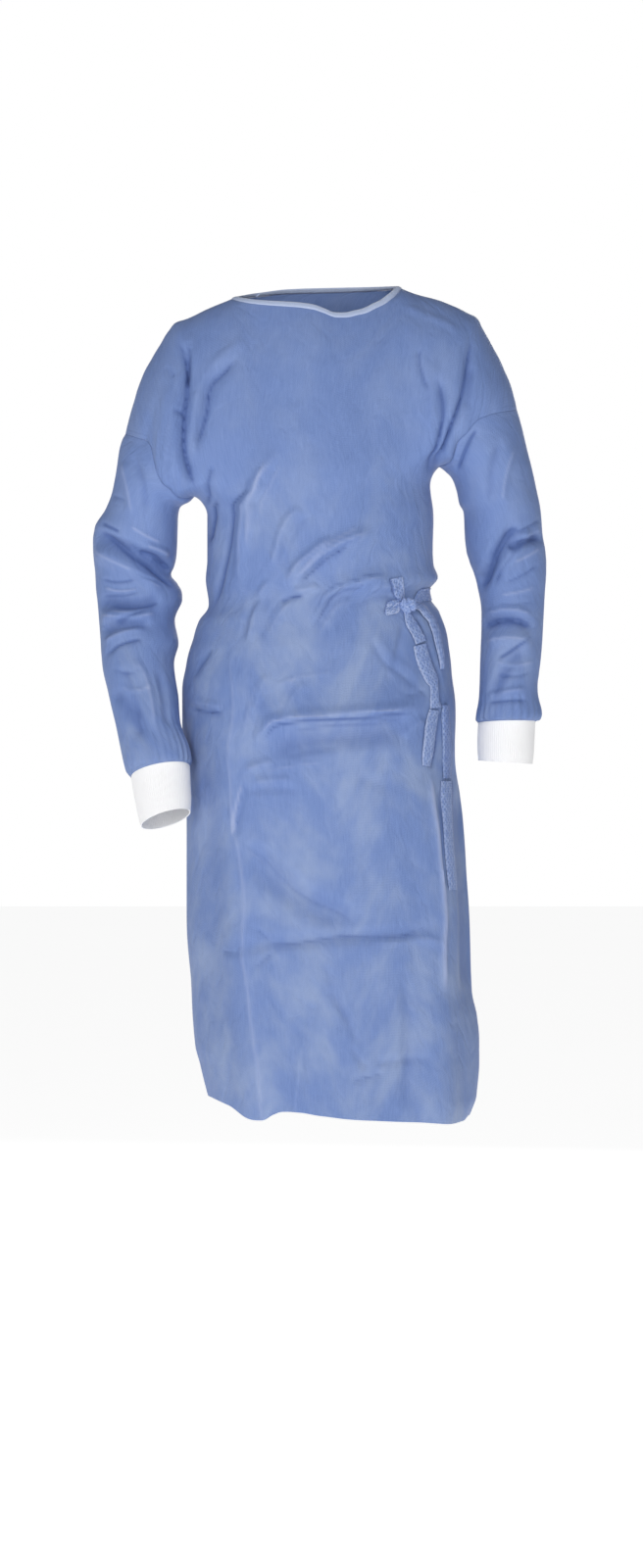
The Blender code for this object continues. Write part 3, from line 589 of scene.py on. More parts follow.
@dataclass(frozen=True)
class Nonwoven(Finish):
    """Spunbonded and meltblown polypropylene, pressed together at small bond points.

    Its matt filaments give soft streaks along the roll, faint clouds where the web is
    thin, and a dry, slightly silky sheen. Bond points are 1 mm apart and are drawn at
    2.4 mm, so that they still show. Seam grooves and crease troughs get painted shade,
    crease ridges a painted highlight. Sizes are in millimetres, depths of relief in metres.
    """

    deep: str = "#647CB1"
    pale: str = "#7289BC"
    cloud: str = "#8C9DC0"
    # Bond points' own darker colour; along the seam grooves it is painted shade
    seam: str = "#536BA2"
    # Painted shade in crease troughs, then the painted highlight on crease ridges
    shade: str = "#4D649B"
    painted_highlight: str = "#A3AED0"
    streak_width: float = 1.5
    streak_length: float = 26.0
    cloud_size: float = 75.0
    bond_pitch: float = 2.4
    crumple_size: float = 11.0
    facet_size: float = 34.0
    groove_width: float = 1.4
    allowance: Point = (4.5, 7.0)
    crumple_depth: float = 0.0005
    facet_depth: float = 0.0004
    streak_depth: float = 0.0002
    bond_depth: float = 0.00012
    groove_depth: float = 0.0005
    allowance_depth: float = 0.0003

    def paint(self, tree: Tree) -> tuple[Socket, Socket]:
        """Build the finish's nodes.

        Args:
            tree: The node tree.

        Returns:
            The colour's socket and the bumped normal's.
        """
        fibres = (1000.0 / self.streak_width, 1000.0 / self.streak_length)
        streaks = self.texture(tree, "Noise", fibres, Detail=2.0, Roughness=0.6)
        thin_spots = (1000.0 / self.cloud_size, 800.0 / self.cloud_size)
        clouds = self.texture(tree, "Noise", thin_spots, Detail=3.0, Roughness=0.6)
        dents = (1000.0 / self.crumple_size, 700.0 / self.crumple_size)
        crumple = self.texture(tree, "Noise", dents, Detail=3.0, Roughness=0.5, Distortion=0.6)
        points = (1000.0 / self.bond_pitch,) * 2
        bonds = self.texture(tree, "Voronoi", points, DIAGONAL, Randomness=0.12)
        bend = self.texture(tree, "Noise", (30.0, 22.0), output="Color", Detail=2.0)
        faces = (1000.0 / self.facet_size, 640.0 / self.facet_size)
        edge = "DISTANCE_TO_EDGE"
        facets = self.texture(tree, "Voronoi", faces, bend=bend, feature=edge, Randomness=1.0)
        seam = add_node(tree, "ShaderNodeAttribute", attribute_name="seam_mm").outputs["Fac"]
        groove = self.mask(tree, (seam, 0.0, self.groove_width, 1.0, 0.0))
        cloth = add_node(tree, "ShaderNodeUVMap", uv_map="cloth").outputs["UV"]
        down = add_node(tree, "ShaderNodeSeparateXYZ", {"Vector": cloth}).outputs["Y"]
        colour = self.laid(
            tree, self.deep,
            (self.mask(tree, (streaks, 0.2, 0.8, 0.15, 0.85)), self.pale),
            (self.mask(tree, (clouds, 0.32, 0.82, 0.0, 0.85), (down, 0.15, 0.5, 0.3, 1.0)), self.cloud),
            (self.mask(tree, (bonds, 0.1, 0.34, 0.16, 0.0)), self.seam),
            # Painted shade along the seam grooves
            (self.mask(tree, (groove, 0.0, 1.0, 0.0, 0.28)), self.seam),
            # Painted shade in crease troughs and painted highlight on crease ridges
            *self.pressed(tree, self.shade, self.painted_highlight),
        )
        normal = self.bumps(
            tree,
            (crumple, self.crumple_depth),
            (self.mask(tree, (facets, 0.0, 0.25, 0.0, 1.0)), self.facet_depth),
            (streaks, self.streak_depth),
            (self.mask(tree, (bonds, 0.1, 0.4, 0.0, 1.0)), self.bond_depth),
            (self.mask(tree, (groove, 0.0, 1.0, 1.0, 0.0)), self.groove_depth),
            (self.mask(tree, (seam, *self.allowance, 1.0, 0.0)), self.allowance_depth),
        )
        return colour, normal


@dataclass(frozen=True)
class EmbossedNonwoven(Finish):
    """Tie strips of the same polypropylene, calendered with a grid of small diamonds.

    The pressed marks are denser and catch the light, so the strips look paler and
    speckled. Marks are 1.5 mm apart and are drawn at their pitch below, to show.
    """

    deep: str = "#7188BD"
    pale: str = "#95A7D1"
    mark: str = "#617AB2"
    # Painted shade on the strips' shaded edges and in crease troughs; next, the painted highlight on lit
    # edges and ridges
    edge: str = "#4A619A"
    painted_highlight: str = "#B9C5E2"
    pitch: float = 5.0
    web_depth: float = 0.0004
    mark_depth: float = 0.0006

    def paint(self, tree: Tree) -> tuple[Socket, Socket]:
        """Build the finish's nodes.

        Args:
            tree: The node tree.

        Returns:
            The colour's socket and the bumped normal's.
        """
        web = self.texture(tree, "Noise", (420.0, 120.0), Detail=3.0)
        points = (1000.0 / self.pitch,) * 2
        marks = self.texture(tree, "Voronoi", points, DIAGONAL, Randomness=0.15)
        pressed = self.mask(tree, (marks, 0.12, 0.34, 1.0, 0.0))
        colour = self.laid(
            tree, self.deep,
            (self.mask(tree, (web, 0.3, 0.7, 0.0, 1.0)), self.pale),
            (self.mask(tree, (pressed, 0.0, 1.0, 0.0, 0.55)), self.mark),
            # Painted shade and painted highlight from the crease attribute
            *self.pressed(tree, self.edge, self.painted_highlight),
        )
        rise = self.mask(tree, (pressed, 0.0, 1.0, 1.0, 0.0))
        return colour, self.bumps(tree, (web, self.web_depth), (rise, self.mark_depth))


@dataclass(frozen=True)
class BindingTape(Finish):
    """Pale woven binding tape, folded over the neck edge and stitched along it.

    The lockstitch is a row of short paler dashes 3 mm long, pressed into the tape.
    """

    base: str = "#BAC6DF"
    fold: str = "#A3B2D4"
    thread: str = "#D6DEEC"
    stitch: float = 3.0
    weave_depth: float = 0.00015
    stitch_depth: float = 0.0004

    def paint(self, tree: Tree) -> tuple[Socket, Socket]:
        """Build the finish's nodes.

        Args:
            tree: The node tree.

        Returns:
            The colour's socket and the bumped normal's.
        """
        weave = self.texture(tree, "Noise", (900.0, 900.0), Detail=2.0)
        cloth = add_node(tree, "ShaderNodeUVMap", uv_map="cloth").outputs["UV"]
        run, drop, _ = add_node(tree, "ShaderNodeSeparateXYZ", {"Vector": cloth}).outputs
        run = add_node(tree, "ShaderNodeMath", {0: run, 1: 1000.0 / self.stitch}, operation="MULTIPLY")
        dash = add_node(tree, "ShaderNodeMath", {0: run.outputs[0]}, operation="FRACT").outputs[0]
        stitches = self.mask(
            tree, (drop, 0.0012, 0.0018, 0.0, 1.0), (drop, 0.0022, 0.0028, 1.0, 0.0),
            (dash, 0.62, 0.72, 1.0, 0.0),
        )
        woven = self.mask(tree, (weave, 0.3, 0.7, 0.0, 1.0))
        colour = self.laid(tree, self.fold, (woven, self.base), (stitches, self.thread))
        return colour, self.bumps(tree, (weave, self.weave_depth), (stitches, self.stitch_depth))


@dataclass(frozen=True)
class RibKnit(Finish):
    """White polyester rib knit: soft yarn in columns of loops, matt and a little fuzzy.

    The ribs are in the mesh. The loops are 1.2 mm tall and are drawn as a fine noise.
    """

    base: str = "#F1F1F3"
    # Darker where the loop noise is low, and painted shade in the rib valleys
    shade: str = "#DADBE1"
    loop_depth: float = 0.0003

    def paint(self, tree: Tree) -> tuple[Socket, Socket]:
        """Build the finish's nodes.

        Args:
            tree: The node tree.

        Returns:
            The colour's socket and the bumped normal's.
        """
        loops = self.texture(tree, "Noise", (380.0, 830.0), Detail=2.0)
        valley = add_node(tree, "ShaderNodeAttribute", attribute_name="rib").outputs["Fac"]
        colour = self.laid(
            tree, self.shade,
            (self.mask(tree, (loops, 0.25, 0.6, 0.0, 1.0)), self.base),
            # Painted shade in the rib valleys
            (self.mask(tree, (valley, 0.0, 1.0, 0.5, 0.0)), self.shade),
        )
        return colour, self.bumps(tree, (loops, self.loop_depth))


GOWN_CLOTH = Nonwoven("blue_sms_nonwoven", 0.62, 0.05)
TIE_CLOTH = EmbossedNonwoven("blue_embossed_nonwoven", 0.55, 0.1)
PATCH_CLOTH = EmbossedNonwoven("blue_welded_nonwoven", 0.45, 0.1, pale="#A9B8DC", pitch=4.0)
BINDING = BindingTape("pale_binding_tape", 0.7, 0.1)
KNIT = RibKnit("white_rib_knit", 0.92, 0.2)


@dataclass(frozen=True)
class Cut:
    """The flat cut of a cloth piece in metres, and how it is held."""

    width: float
    length: float
    area: float | None = None
    held: str = "hung"
    rests_on: tuple[str, ...] = ()


@dataclass
class ClothPiece:
    """One piece of cloth as a thin closed shell on a grid of points in millimetres.

    The grid's rows run down and its columns across. The turn says which way its faces
    point, and wrap closes the last column to the first, as on a sleeve.
    """

    name: str
    node: str
    slot: str
    finish: Finish
    cut: Cut
    grid: Array
    turn: int
    wrap: bool = False
    pattern: Array | None = None
    seam: Array | None = None
    # Painted shade below zero and painted highlight above, at each grid point
    tone: Array | None = None
    thickness: float | Array = 0.6
    attribute: str = "seam_mm"

    def closed(self) -> Array:
        """Return the grid with its first column again at the end where it wraps."""
        return np.concatenate([self.grid, self.grid[:, :1]], axis=1) if self.wrap else self.grid

    def normals(self) -> Array:
        """Find the outward normals, smooth across the closing column.

        Returns:
            The normal at each point.
        """
        if not self.wrap:
            return grid_normals(self.grid, self.turn)
        wide = np.concatenate([self.grid[:, -1:], self.grid, self.grid[:, :1]], axis=1)
        return grid_normals(wide, self.turn)[:, 1:-1]

    def own_pattern(self) -> Array:
        """Measure the cloth's own coordinates.

        Returns:
            Millimetres across from its middle and down from its top.
        """
        closed = self.closed()
        across = run_length(closed, 1)
        middle = closed.shape[1] // 2
        down = run_length(closed, 0)
        return np.stack([across - across[:, middle:middle + 1], down], axis=-1)

    def faces(self) -> tuple[Array, Array]:
        """Return the corners of all faces, and the grid place of each corner.

        Returns:
            Vertex numbers of each four-sided face, and row and column of each corner.
        """
        rows, columns = self.grid.shape[:2]
        count = rows * columns
        spans = columns if self.wrap else columns - 1
        row, column = np.meshgrid(np.arange(rows - 1), np.arange(spans), indexing="ij")
        corners = [(row, column), (row + 1, column), (row + 1, column + 1), (row, column + 1)]
        outer = np.stack([np.stack(corner, axis=-1) for corner in corners], axis=-2).reshape(-1, 4, 2)
        layers = [(outer, (0, 0, 0, 0)), (outer[:, ::-1], (1, 1, 1, 1))]
        column, row = np.arange(spans), np.arange(rows - 1)
        top, low = np.zeros_like(column), np.full_like(column, rows - 1)
        borders = [((top, column), (top, column + 1)), ((low, column + 1), (low, column))]
        if not self.wrap:
            left, right = np.zeros_like(row), np.full_like(row, columns - 1)
            borders += [((row + 1, left), (row, left)), ((row, right), (row + 1, right))]
        for start, end in borders:
            edge = [np.stack(corner, axis=-1) for corner in (start, end, end, start)]
            layers.append((np.stack(edge, axis=-2), (0, 0, 1, 1)))
        numbers, places = [], []
        for corner, inner in layers:
            at = corner[..., 0] * columns + corner[..., 1] % columns + count * np.array(inner)
            numbers.append(at)
            places.append(corner)
        number, place = np.concatenate(numbers), np.concatenate(places)
        if self.turn > 0:
            number, place = number[:, ::-1], place[:, ::-1]
        return number, place

    def make(self, with_pieces: Iterable[Piece] = ()) -> Piece:
        """Build the piece and dress it.

        Args:
            with_pieces: Separate pieces on this one; not used.

        Returns:
            The finished object.
        """
        normal = self.normals()
        wall = np.broadcast_to(self.thickness, self.grid.shape[:2])[..., None]
        inner = self.grid - normal * wall
        points = np.concatenate([self.grid.reshape(-1, 3), inner.reshape(-1, 3)]) * MM
        number, place = self.faces()
        mesh = bpy.data.meshes.new(self.name)
        mesh.vertices.add(len(points))
        mesh.vertices.foreach_set("co", points.ravel())
        mesh.loops.add(number.size)
        mesh.loops.foreach_set("vertex_index", number.ravel())
        mesh.polygons.add(len(number))
        mesh.polygons.foreach_set("loop_start", np.arange(len(number)) * 4)
        pattern = self.own_pattern() if self.pattern is None else self.pattern
        flat = pattern[place[..., 0], place[..., 1]].reshape(-1, 2) * MM
        mesh.uv_layers.new(name="cloth").data.foreach_set("uv", flat.ravel())
        seam = np.full(self.grid.shape[:2], 100.0) if self.seam is None else self.seam
        tone = np.zeros(self.grid.shape[:2]) if self.tone is None else self.tone
        # The crease attribute carries the painted shade and highlight to the finish
        for name, values in ((self.attribute, seam), ("painted_crease_shading", tone)):
            both = np.concatenate([values.ravel(), values.ravel()])
            mesh.attributes.new(name, "FLOAT", "POINT").data.foreach_set("value", both)
        mesh.update(calc_edges=True)
        mesh.validate()
        mesh.materials.append(self.finish.material())
        mesh.shade_smooth()
        mesh.set_sharp_from_angle(angle=1.2)
        piece = bpy.data.objects.new(self.name, mesh)
        bpy.context.scene.collection.objects.link(piece)
        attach(piece, BODY)
        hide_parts(self.node)
        log.info("%s: %d faces", self.name, len(number))
        return piece


@dataclass
class GownBody:
    """The body of the gown: front, lapped back flaps, and the form that all lie on.

    Sides are -1 for the front and 1 for the back. Across runs from 0 at the wearer's
    right side to 1 at the left. Rows run from 0 at the shoulders to 1 at the armpits
    and 2 at the hem.
    """

    neck_middle: float = -6.0
    neck_front_depth: float = 58.0
    neck_back_depth: float = 64.0
    armhole_depth: float = 76.0
    binding_width: float = 8.0
    neck_start: float = 1 / 3
    neck_end: float = 2 / 3
    yoke_flare: float = 1.7
    hem_wave_rows: float = 0.3
    flap_step: float = 5.0
    step_near: float = 0.03
    step_far: float = 0.075
    edge_sink: float = 3.4
    edge_width: float = 0.04
    tab_across: Point = (0.54, 0.62)
    tab_rows: Point = (0.10, 0.30)
    tab_lift: float = 1.5
    tape_height: float = 1.2
    tape_ripple: float = 0.22
    relax_rounds: int = 90
    quick_rounds: int = 12
    yoke_rows: int = 92
    skirt_rows: int = 214
    front_columns: int = 150
    relief: float = 1.5
    ridge_right: Table = field(default_factory=lambda: table(
        "x z",
        (-266, -177), (-262, -160), (-254, -132), (-245, -104), (-231, -76), (-219, -56),
        (-205, -34), (-196, -25), (-186, -22), (-156, -8), (-122, 6),
    ))
    ridge_left: Table = field(default_factory=lambda: table(
        "x z",
        (265, -144), (262, -130), (247, -88), (233, -60), (217, -31), (211, -20),
        (200, -14), (173, -1), (150, 7), (134, 11), (109, 20),
    ))
    neck_front: Table = field(default_factory=lambda: table(
        "x z",
        (-114, 9), (-84, 5), (-50, 3), (-17, 0), (3, -6), (23, -12), (45, -9),
        (69, 0), (89, 12), (101, 23),
    ))
    neck_back: Table = field(default_factory=lambda: table(
        "x z", (-114, 9), (-80, 15), (-40, 19), (-5, 20), (35, 21), (72, 22), (101, 23),
    ))
    armhole_right: Table = field(default_factory=lambda: table(
        "x z",
        (-266, -177), (-247, -183), (-235, -188), (-227, -214), (-220, -236),
        (-206, -251), (-184, -264), (-170, -259),
    ))
    armhole_left: Table = field(default_factory=lambda: table(
        "x z",
        (265, -144), (239, -148), (223, -153), (210, -160), (199, -174),
        (184, -190), (175, -214), (158, -221),
    ))
    side_right: Table = field(default_factory=lambda: table(
        "z x",
        (-259, -170), (-265, -165), (-273, -160), (-280, -155), (-302, -155), (-348, -155),
        (-374, -157), (-408, -153), (-430, -166), (-455, -174), (-493, -184), (-535, -189),
        (-570, -189), (-640, -184), (-760, -183), (-821, -183), (-919, -177), (-1000, -172),
        (-1031, -165), (-1064, -157), (-1075, -154),
    ))
    side_left: Table = field(default_factory=lambda: table(
        "z x",
        (-221, 158), (-229, 151), (-238, 147), (-255, 148), (-294, 152), (-331, 151),
        (-354, 152), (-372, 158), (-391, 145), (-419, 160), (-468, 173), (-505, 177),
        (-561, 182), (-602, 181), (-668, 188), (-702, 192), (-778, 197), (-841, 201),
        (-932, 204), (-967, 211), (-1011, 214), (-1068, 211), (-1094, 204), (-1101, 201),
    ))
    hem_front: Table = field(default_factory=lambda: table(
        "x z",
        (-154, -1075), (-126, -1088), (-79, -1108), (-65, -1101), (-49, -1097),
        (0, -1103), (69, -1109), (154, -1111), (190, -1109), (201, -1101),
    ))
    depths: Table = field(default_factory=lambda: table(
        "z front back power",
        (-1110, 142, 134, 2.8), (-900, 139, 130, 2.8), (-700, 136, 128, 2.7),
        (-560, 133, 122, 2.5), (-470, 122, 108, 2.3), (-395, 112, 96, 2.1),
        (-330, 117, 104, 2.1), (-240, 119, 112, 2.0),
    ))
    flap_edges: Table = field(default_factory=lambda: table(
        "row outer inner",
        (0.0, 0.585, 0.41), (1.0, 0.68, 0.40), (1.2, 0.73, 0.39), (2.0, 0.76, 0.38),
    ))

    def corner(self, line: Table, index: int) -> Point:
        """Return one point of a line's table."""
        return line["x"][index], line["z"][index]

    def neck_line(self, side: int, share: Array, lower: bool) -> tuple[Array, Array, Array]:
        """Follow one edge of the neck binding.

        Args:
            side: -1 for the front, 1 for the back.
            share: Shares of the way from the wearer's right to the left.
            lower: Whether the lower edge is wanted, and not the upper one.

        Returns:
            x, z and depth of the edge.
        """
        x, z = along(self.neck_front if side < 0 else self.neck_back, round_share(share))
        depth = self.neck_front_depth if side < 0 else self.neck_back_depth
        y = side * depth * np.sin(np.pi * share)
        if not lower:
            return x, z, y
        half_width = 0.5 * (self.neck_front["x"][-1] - self.neck_front["x"][0])
        x = self.neck_middle + (x - self.neck_middle) * (1.0 + self.binding_width / half_width)
        z = z - self.binding_width * (0.35 + 0.55 * np.sin(np.pi * share))
        return x, z, y * (1.0 + 0.6 * self.binding_width / depth)

    def top_edge(self, side: int, across: Array) -> tuple[Array, Array, Array, Array]:
        """Follow a panel's upper edge over both shoulders and the neck.

        Args:
            side: -1 for the front, 1 for the back.
            across: Places across the panel.

        Returns:
            x, z and depth of the edge, and the share of the way along the neck.
        """
        right_x, right_z = along(self.ridge_right, np.clip(across / self.neck_start, 0.0, 1.0))
        left_x, left_z = along(self.ridge_left, np.clip((1.0 - across) / self.neck_start, 0.0, 1.0))
        width = self.neck_end - self.neck_start
        share = np.clip((across - self.neck_start) / width, 0.0, 1.0)
        neck_x, neck_z, neck_y = self.neck_line(side, share, lower=True)
        on_right = across < self.neck_start
        on_left = across > self.neck_end
        x = np.where(on_right, right_x, np.where(on_left, left_x, neck_x))
        z = np.where(on_right, right_z, np.where(on_left, left_z, neck_z))
        return x, z, np.where(on_right | on_left, 0.0, neck_y), share

    def section(self, side: int, level: Array, across: Array) -> Array:
        """Give the body's section at a level.

        Args:
            side: -1 for the front, 1 for the back.
            level: Heights in the middle plane.
            across: Places across the panel.

        Returns:
            The depth at each place.
        """
        reach = curve(self.depths["z"], self.depths["front" if side < 0 else "back"], level)
        power = curve(self.depths["z"], self.depths["power"], level)
        offset = np.abs(np.cos(np.pi * across))
        return side * reach * np.sqrt(np.clip(1.0 - offset ** power, 0.0, 1.0))

    def yoke(self, side: int, across: Array, row: Array) -> tuple[Array, Array, Array]:
        """Give the smooth form above the armpits.

        Args:
            side: -1 for the front, 1 for the back.
            across: Places across the panel.
            row: Rows from 0 at the shoulders to 1 at the armpits.

        Returns:
            x, z and depth of the points.
        """
        top_x, top_z, top_y, neck_share = self.top_edge(side, across)
        chest = round_share(across)
        right_x, right_z = along(self.armhole_right, row)
        left_x, left_z = along(self.armhole_left, row)
        plane = []
        for top, right, left, name, pull in (
            (top_x, right_x, left_x, "x", (1.0 - row) ** self.yoke_flare),
            (top_z, right_z, left_z, "z", 1.0 - row),
        ):
            starts = (1.0 - across) * self.armhole_right[name][0] + across * self.armhole_left[name][0]
            pit_right, pit_left = self.armhole_right[name][-1], self.armhole_left[name][-1]
            ends = (1.0 - across) * pit_right + across * pit_left
            bottom = pit_right + (pit_left - pit_right) * chest
            sides = (1.0 - across) * right + across * left
            plane.append(pull * (top - starts) + (1.0 - pull) * (bottom - ends) + sides)
        inside = smooth_step(0.0, 0.30, across) * smooth_step(0.0, 0.30, 1.0 - across)
        bulge = arch(row) * (1.0 - inside)
        on_neck = (across > self.neck_start) & (across < self.neck_end)
        neck_weight = np.where(on_neck, smooth_step(0.0, 0.7, np.sin(np.pi * neck_share)), 0.0)
        ends = smooth_step(0.0, 0.25, neck_share) * smooth_step(0.0, 0.25, 1.0 - neck_share)
        top_y = top_y * (1.0 - (1.0 - ends) * smooth_step(0.0, 0.3, row))
        round_rise = np.sqrt(np.clip(1.0 - (1.0 - row) ** 2, 0.0, 1.0))
        neck_rise = 1.0 - (1.0 - row) ** 1.7
        rise = round_rise * (1.0 - neck_weight) + neck_rise * neck_weight
        chest_y = self.section(side, self.depths["z"][-1], across)
        depth = top_y + (chest_y - top_y) * rise + side * self.armhole_depth * bulge
        return plane[0], plane[1], depth

    def sides(self, row: Array) -> list[tuple[Array, Array]]:
        """Follow both side seams.

        Args:
            row: Rows from 0 at the armpits to 1 at the hem.

        Returns:
            x and z of the wearer's right seam, and of the left one.
        """
        seams = []
        for armhole, seam in ((self.armhole_right, self.side_right), (self.armhole_left, self.side_left)):
            z = armhole["z"][-1] + (seam["z"][-1] - armhole["z"][-1]) * row
            seams.append((curve(seam["z"], seam["x"], z), z))
        return seams

    def skirt(self, side: int, across: Array, row: Array) -> tuple[Array, Array, Array]:
        """Give the smooth form below the armpits.

        Args:
            side: -1 for the front, 1 for the back.
            across: Places across the panel.
            row: Rows from 0 at the armpits to 1 at the hem.

        Returns:
            x, z and depth of the points.
        """
        (right_x, right_z), (left_x, left_z) = self.sides(row)
        hem_right, hem_left = self.side_right["z"][-1], self.side_left["z"][-1]
        chest = round_share(across)
        x = right_x + (left_x - right_x) * chest
        z = right_z + (left_z - right_z) * chest
        if side < 0:
            right, left = self.side_right["x"][-1], self.side_left["x"][-1]
            hem_z = hem_right + (hem_left - hem_right) * chest
            wave = curve(self.hem_front["x"], self.hem_front["z"], right + (left - right) * chest) - hem_z
            z = z + wave * smooth_step(1.0 - self.hem_wave_rows, 1.0, row)
        return x, z, self.section(side, z, across)

    def place(self, side: int, across: Array, row: Array) -> list[Array]:
        """Return x, z and depth of the body's smooth form."""
        upper = self.yoke(side, across, np.clip(row, 0.0, 1.0))
        lower = self.skirt(side, across, np.clip(row - 1.0, 0.0, 1.0))
        return [np.where(row < 1.0, high, low) for high, low in zip(upper, lower)]

    def height(self, side: int, x: Array, z: Array, across: Array, row: Array) -> Array:
        """Tell how far the creased cloth stands off the smooth form.

        Args:
            side: -1 for the front, 1 for the back.
            x: Places across in the middle plane.
            z: Places up in the middle plane.
            across: Places across the panel.
            row: Rows of the panel.

        Returns:
            The height at each point.
        """
        def hold(width: float, drop: float) -> Array:
            """Return how far creases may rise: not at seams, edges and outlines."""
            sides = smooth_step(0.0, width, across) * smooth_step(0.0, width, 1.0 - across)
            return sides * smooth_step(0.0, drop, row)

        folds = FRONT_FOLDS if side < 0 else BACK_FOLDS
        creases = FRONT_CREASES if side < 0 else BACK_CREASES
        swell = soft_noise(x, z, (34.0, 120.0), 11 + side) * 0.9
        swell = swell + soft_noise(x, z, (70.0, 46.0), 21 + side) * 0.7
        waves = soft_noise(x + 0.35 * z, z, (15.0, 60.0), 31 + side) * 0.35
        large = crease_height(folds, x, z) * hold(0.10, 0.25)
        small = crease_height(creases, x, z) * hold(0.035, 0.06)
        return large + small * self.relief + (swell + waves) * hold(0.06, 0.2)

    def firmness(self, across: Array, row: Array) -> Array:
        """Tell where the smooth form stays and where its patches are smoothed together.

        Args:
            across: Places across the panel.
            row: Rows of the panel.

        Returns:
            1 where the form stays, and less where its patches meet.
        """
        armpits = 1.0 - smooth_step(0.0, 0.16, np.where(row < 1.0, 1.0 - row, 3.0 * (row - 1.0)))
        apart = np.minimum(np.abs(across - self.neck_start), np.abs(across - self.neck_end))
        corners = (1.0 - smooth_step(0.0, 0.09, apart)) * smooth_step(0.0, 0.15, row) * (row < 1.0)
        sides = smooth_step(0.0, 0.05, across) * smooth_step(0.0, 0.05, 1.0 - across)
        return 1.0 - np.maximum(armpits, corners) * sides

    def surface(self, side: int, across: Array, row: Array, turn: int) -> Array:
        """Lay the creased cloth on a grid of places.

        Args:
            side: -1 for the front, 1 for the back.
            across: Places across the panel.
            row: Rows of the panel.
            turn: 1 or -1, so that the normals point out of the gown.

        Returns:
            The cloth's points.
        """
        x, z, depth = self.place(side, across, row)
        grid = seen(x, z, depth)
        if row[0, 0] < 0.01:
            rounds = self.relax_rounds
            grid = relax(grid, self.firmness(across, row), rounds)
        return grid + grid_normals(grid, turn) * self.height(side, x, z, across, row)[..., None]

    def tone(self, side: int, across: Array, row: Array) -> Array:
        """Tell how much painted shade and painted highlight the cloth gets on a grid of places.

        Args:
            side: -1 for the front, 1 for the back.
            across: Places across the panel.
            row: Rows of the panel.

        Returns:
            The tone at each place: painted shade below zero, painted highlight above.
        """
        x, z, _ = self.place(side, across, row)
        tone = painted_crease_tone(FRONT_CREASES if side < 0 else BACK_CREASES, x, z)
        large = crease_height(FRONT_FOLDS if side < 0 else BACK_FOLDS, x, z)
        # Painted shade in the troughs of the large folds, and a fainter painted highlight on their ridges
        return (tone + np.where(large < 0.0, 0.16, 0.05) * large) * smooth_step(0.0, 0.05, row)

    def rows(self) -> Array:
        """Return all rows of a panel, closer together under the shoulder seams."""
        above, below = fine(self.yoke_rows), fine(self.skirt_rows)
        upper = (np.arange(above) / above) ** 1.5
        return np.concatenate([upper, 1.0 + np.arange(below + 1) / below])[:, None]

    def seam_distance(self, grid: Array, across: Array, start: bool, end: bool) -> Array:
        """Return how far each point is from the nearest seam, in millimetres.

        Args:
            grid: The panel's points.
            across: The panel's places across.
            start: Whether the first column is sewn.
            end: Whether the last column is sewn.

        Returns:
            The distance of each point.
        """
        width = run_length(grid, 1)
        shoulder = (across <= self.neck_start) | (across >= self.neck_end)
        distance = np.where(shoulder, run_length(grid, 0), 100.0)
        if start:
            distance = np.minimum(distance, width)
        if end:
            distance = np.minimum(distance, width[:, -1:] - width)
        return distance

    def tuck(self, points: Array, step: Array) -> Array:
        """Move points towards the body's upright middle line.

        Args:
            points: The points to move.
            step: How far each one moves.

        Returns:
            The moved points.
        """
        away = points[..., :2] - np.array([self.neck_middle, 0.0])
        away /= np.linalg.norm(away, axis=-1, keepdims=True)
        moved = points.copy()
        moved[..., :2] -= away * step[..., None]
        return moved

    def tuck_step(self, across: Array, row: Array) -> Array:
        """Return how deep the inner flap lies under the outer one."""
        edge = curve(self.flap_edges["row"], self.flap_edges["outer"], row)
        return self.flap_step * (1.0 - smooth_step(self.step_near, self.step_far, across - edge))

    def on_front(self, x: Array, z: Array) -> tuple[Array, Array]:
        """Return points and normals of the front under points of the middle plane.

        Args:
            x: Places across.
            z: Places up, all below the armpits.

        Returns:
            Points of the creased cloth, and outward normals of the smooth form.
        """
        pit = (self.armhole_right["z"][-1], self.armhole_left["z"][-1])
        hem = (self.side_right["z"][-1], self.side_left["z"][-1])
        row = np.full(np.shape(x), 1.2)
        across = np.full(np.shape(x), 0.8)
        for _ in range(30):
            (right_x, _), (left_x, _) = self.sides(row - 1.0)
            chest = np.clip((x - right_x) / (left_x - right_x), 0.001, 0.999)
            across = np.arccos(1.0 - 2.0 * chest) / np.pi
            top = pit[0] + (pit[1] - pit[0]) * chest
            bottom = hem[0] + (hem[1] - hem[0]) * chest
            row = 1.0 + np.clip((top - z) / (top - bottom), 0.0, 1.0)
        step = 0.002
        place = self.place(-1, across, row)
        run = seen(*self.place(-1, across + step, row)) - seen(*self.place(-1, across - step, row))
        drop = seen(*self.place(-1, across, row + step)) - seen(*self.place(-1, across, row - step))
        normal = -np.cross(run, drop)
        normal /= np.linalg.norm(normal, axis=-1, keepdims=True)
        rise = self.height(-1, place[0], place[1], across, row)
        return seen(*place) + normal * rise[..., None], normal

    def front(self) -> Piece:
        """Build the front, one kimono cut piece with the tops of both sleeves.

        Returns:
            The finished front.
        """
        row = self.rows()
        columns = fine(self.front_columns)
        across = np.broadcast_to(np.arange(columns + 1) / columns, (len(row), columns + 1))
        grid = self.surface(-1, across, row, -1)
        return ClothPiece(
            "front_cloth", "front_panel", "blue_nonwoven", GOWN_CLOTH, Cut(0.66, 1.13, 0.57), grid, -1,
            seam=self.seam_distance(grid, across, True, True), tone=self.tone(-1, across, row),
        ).make()

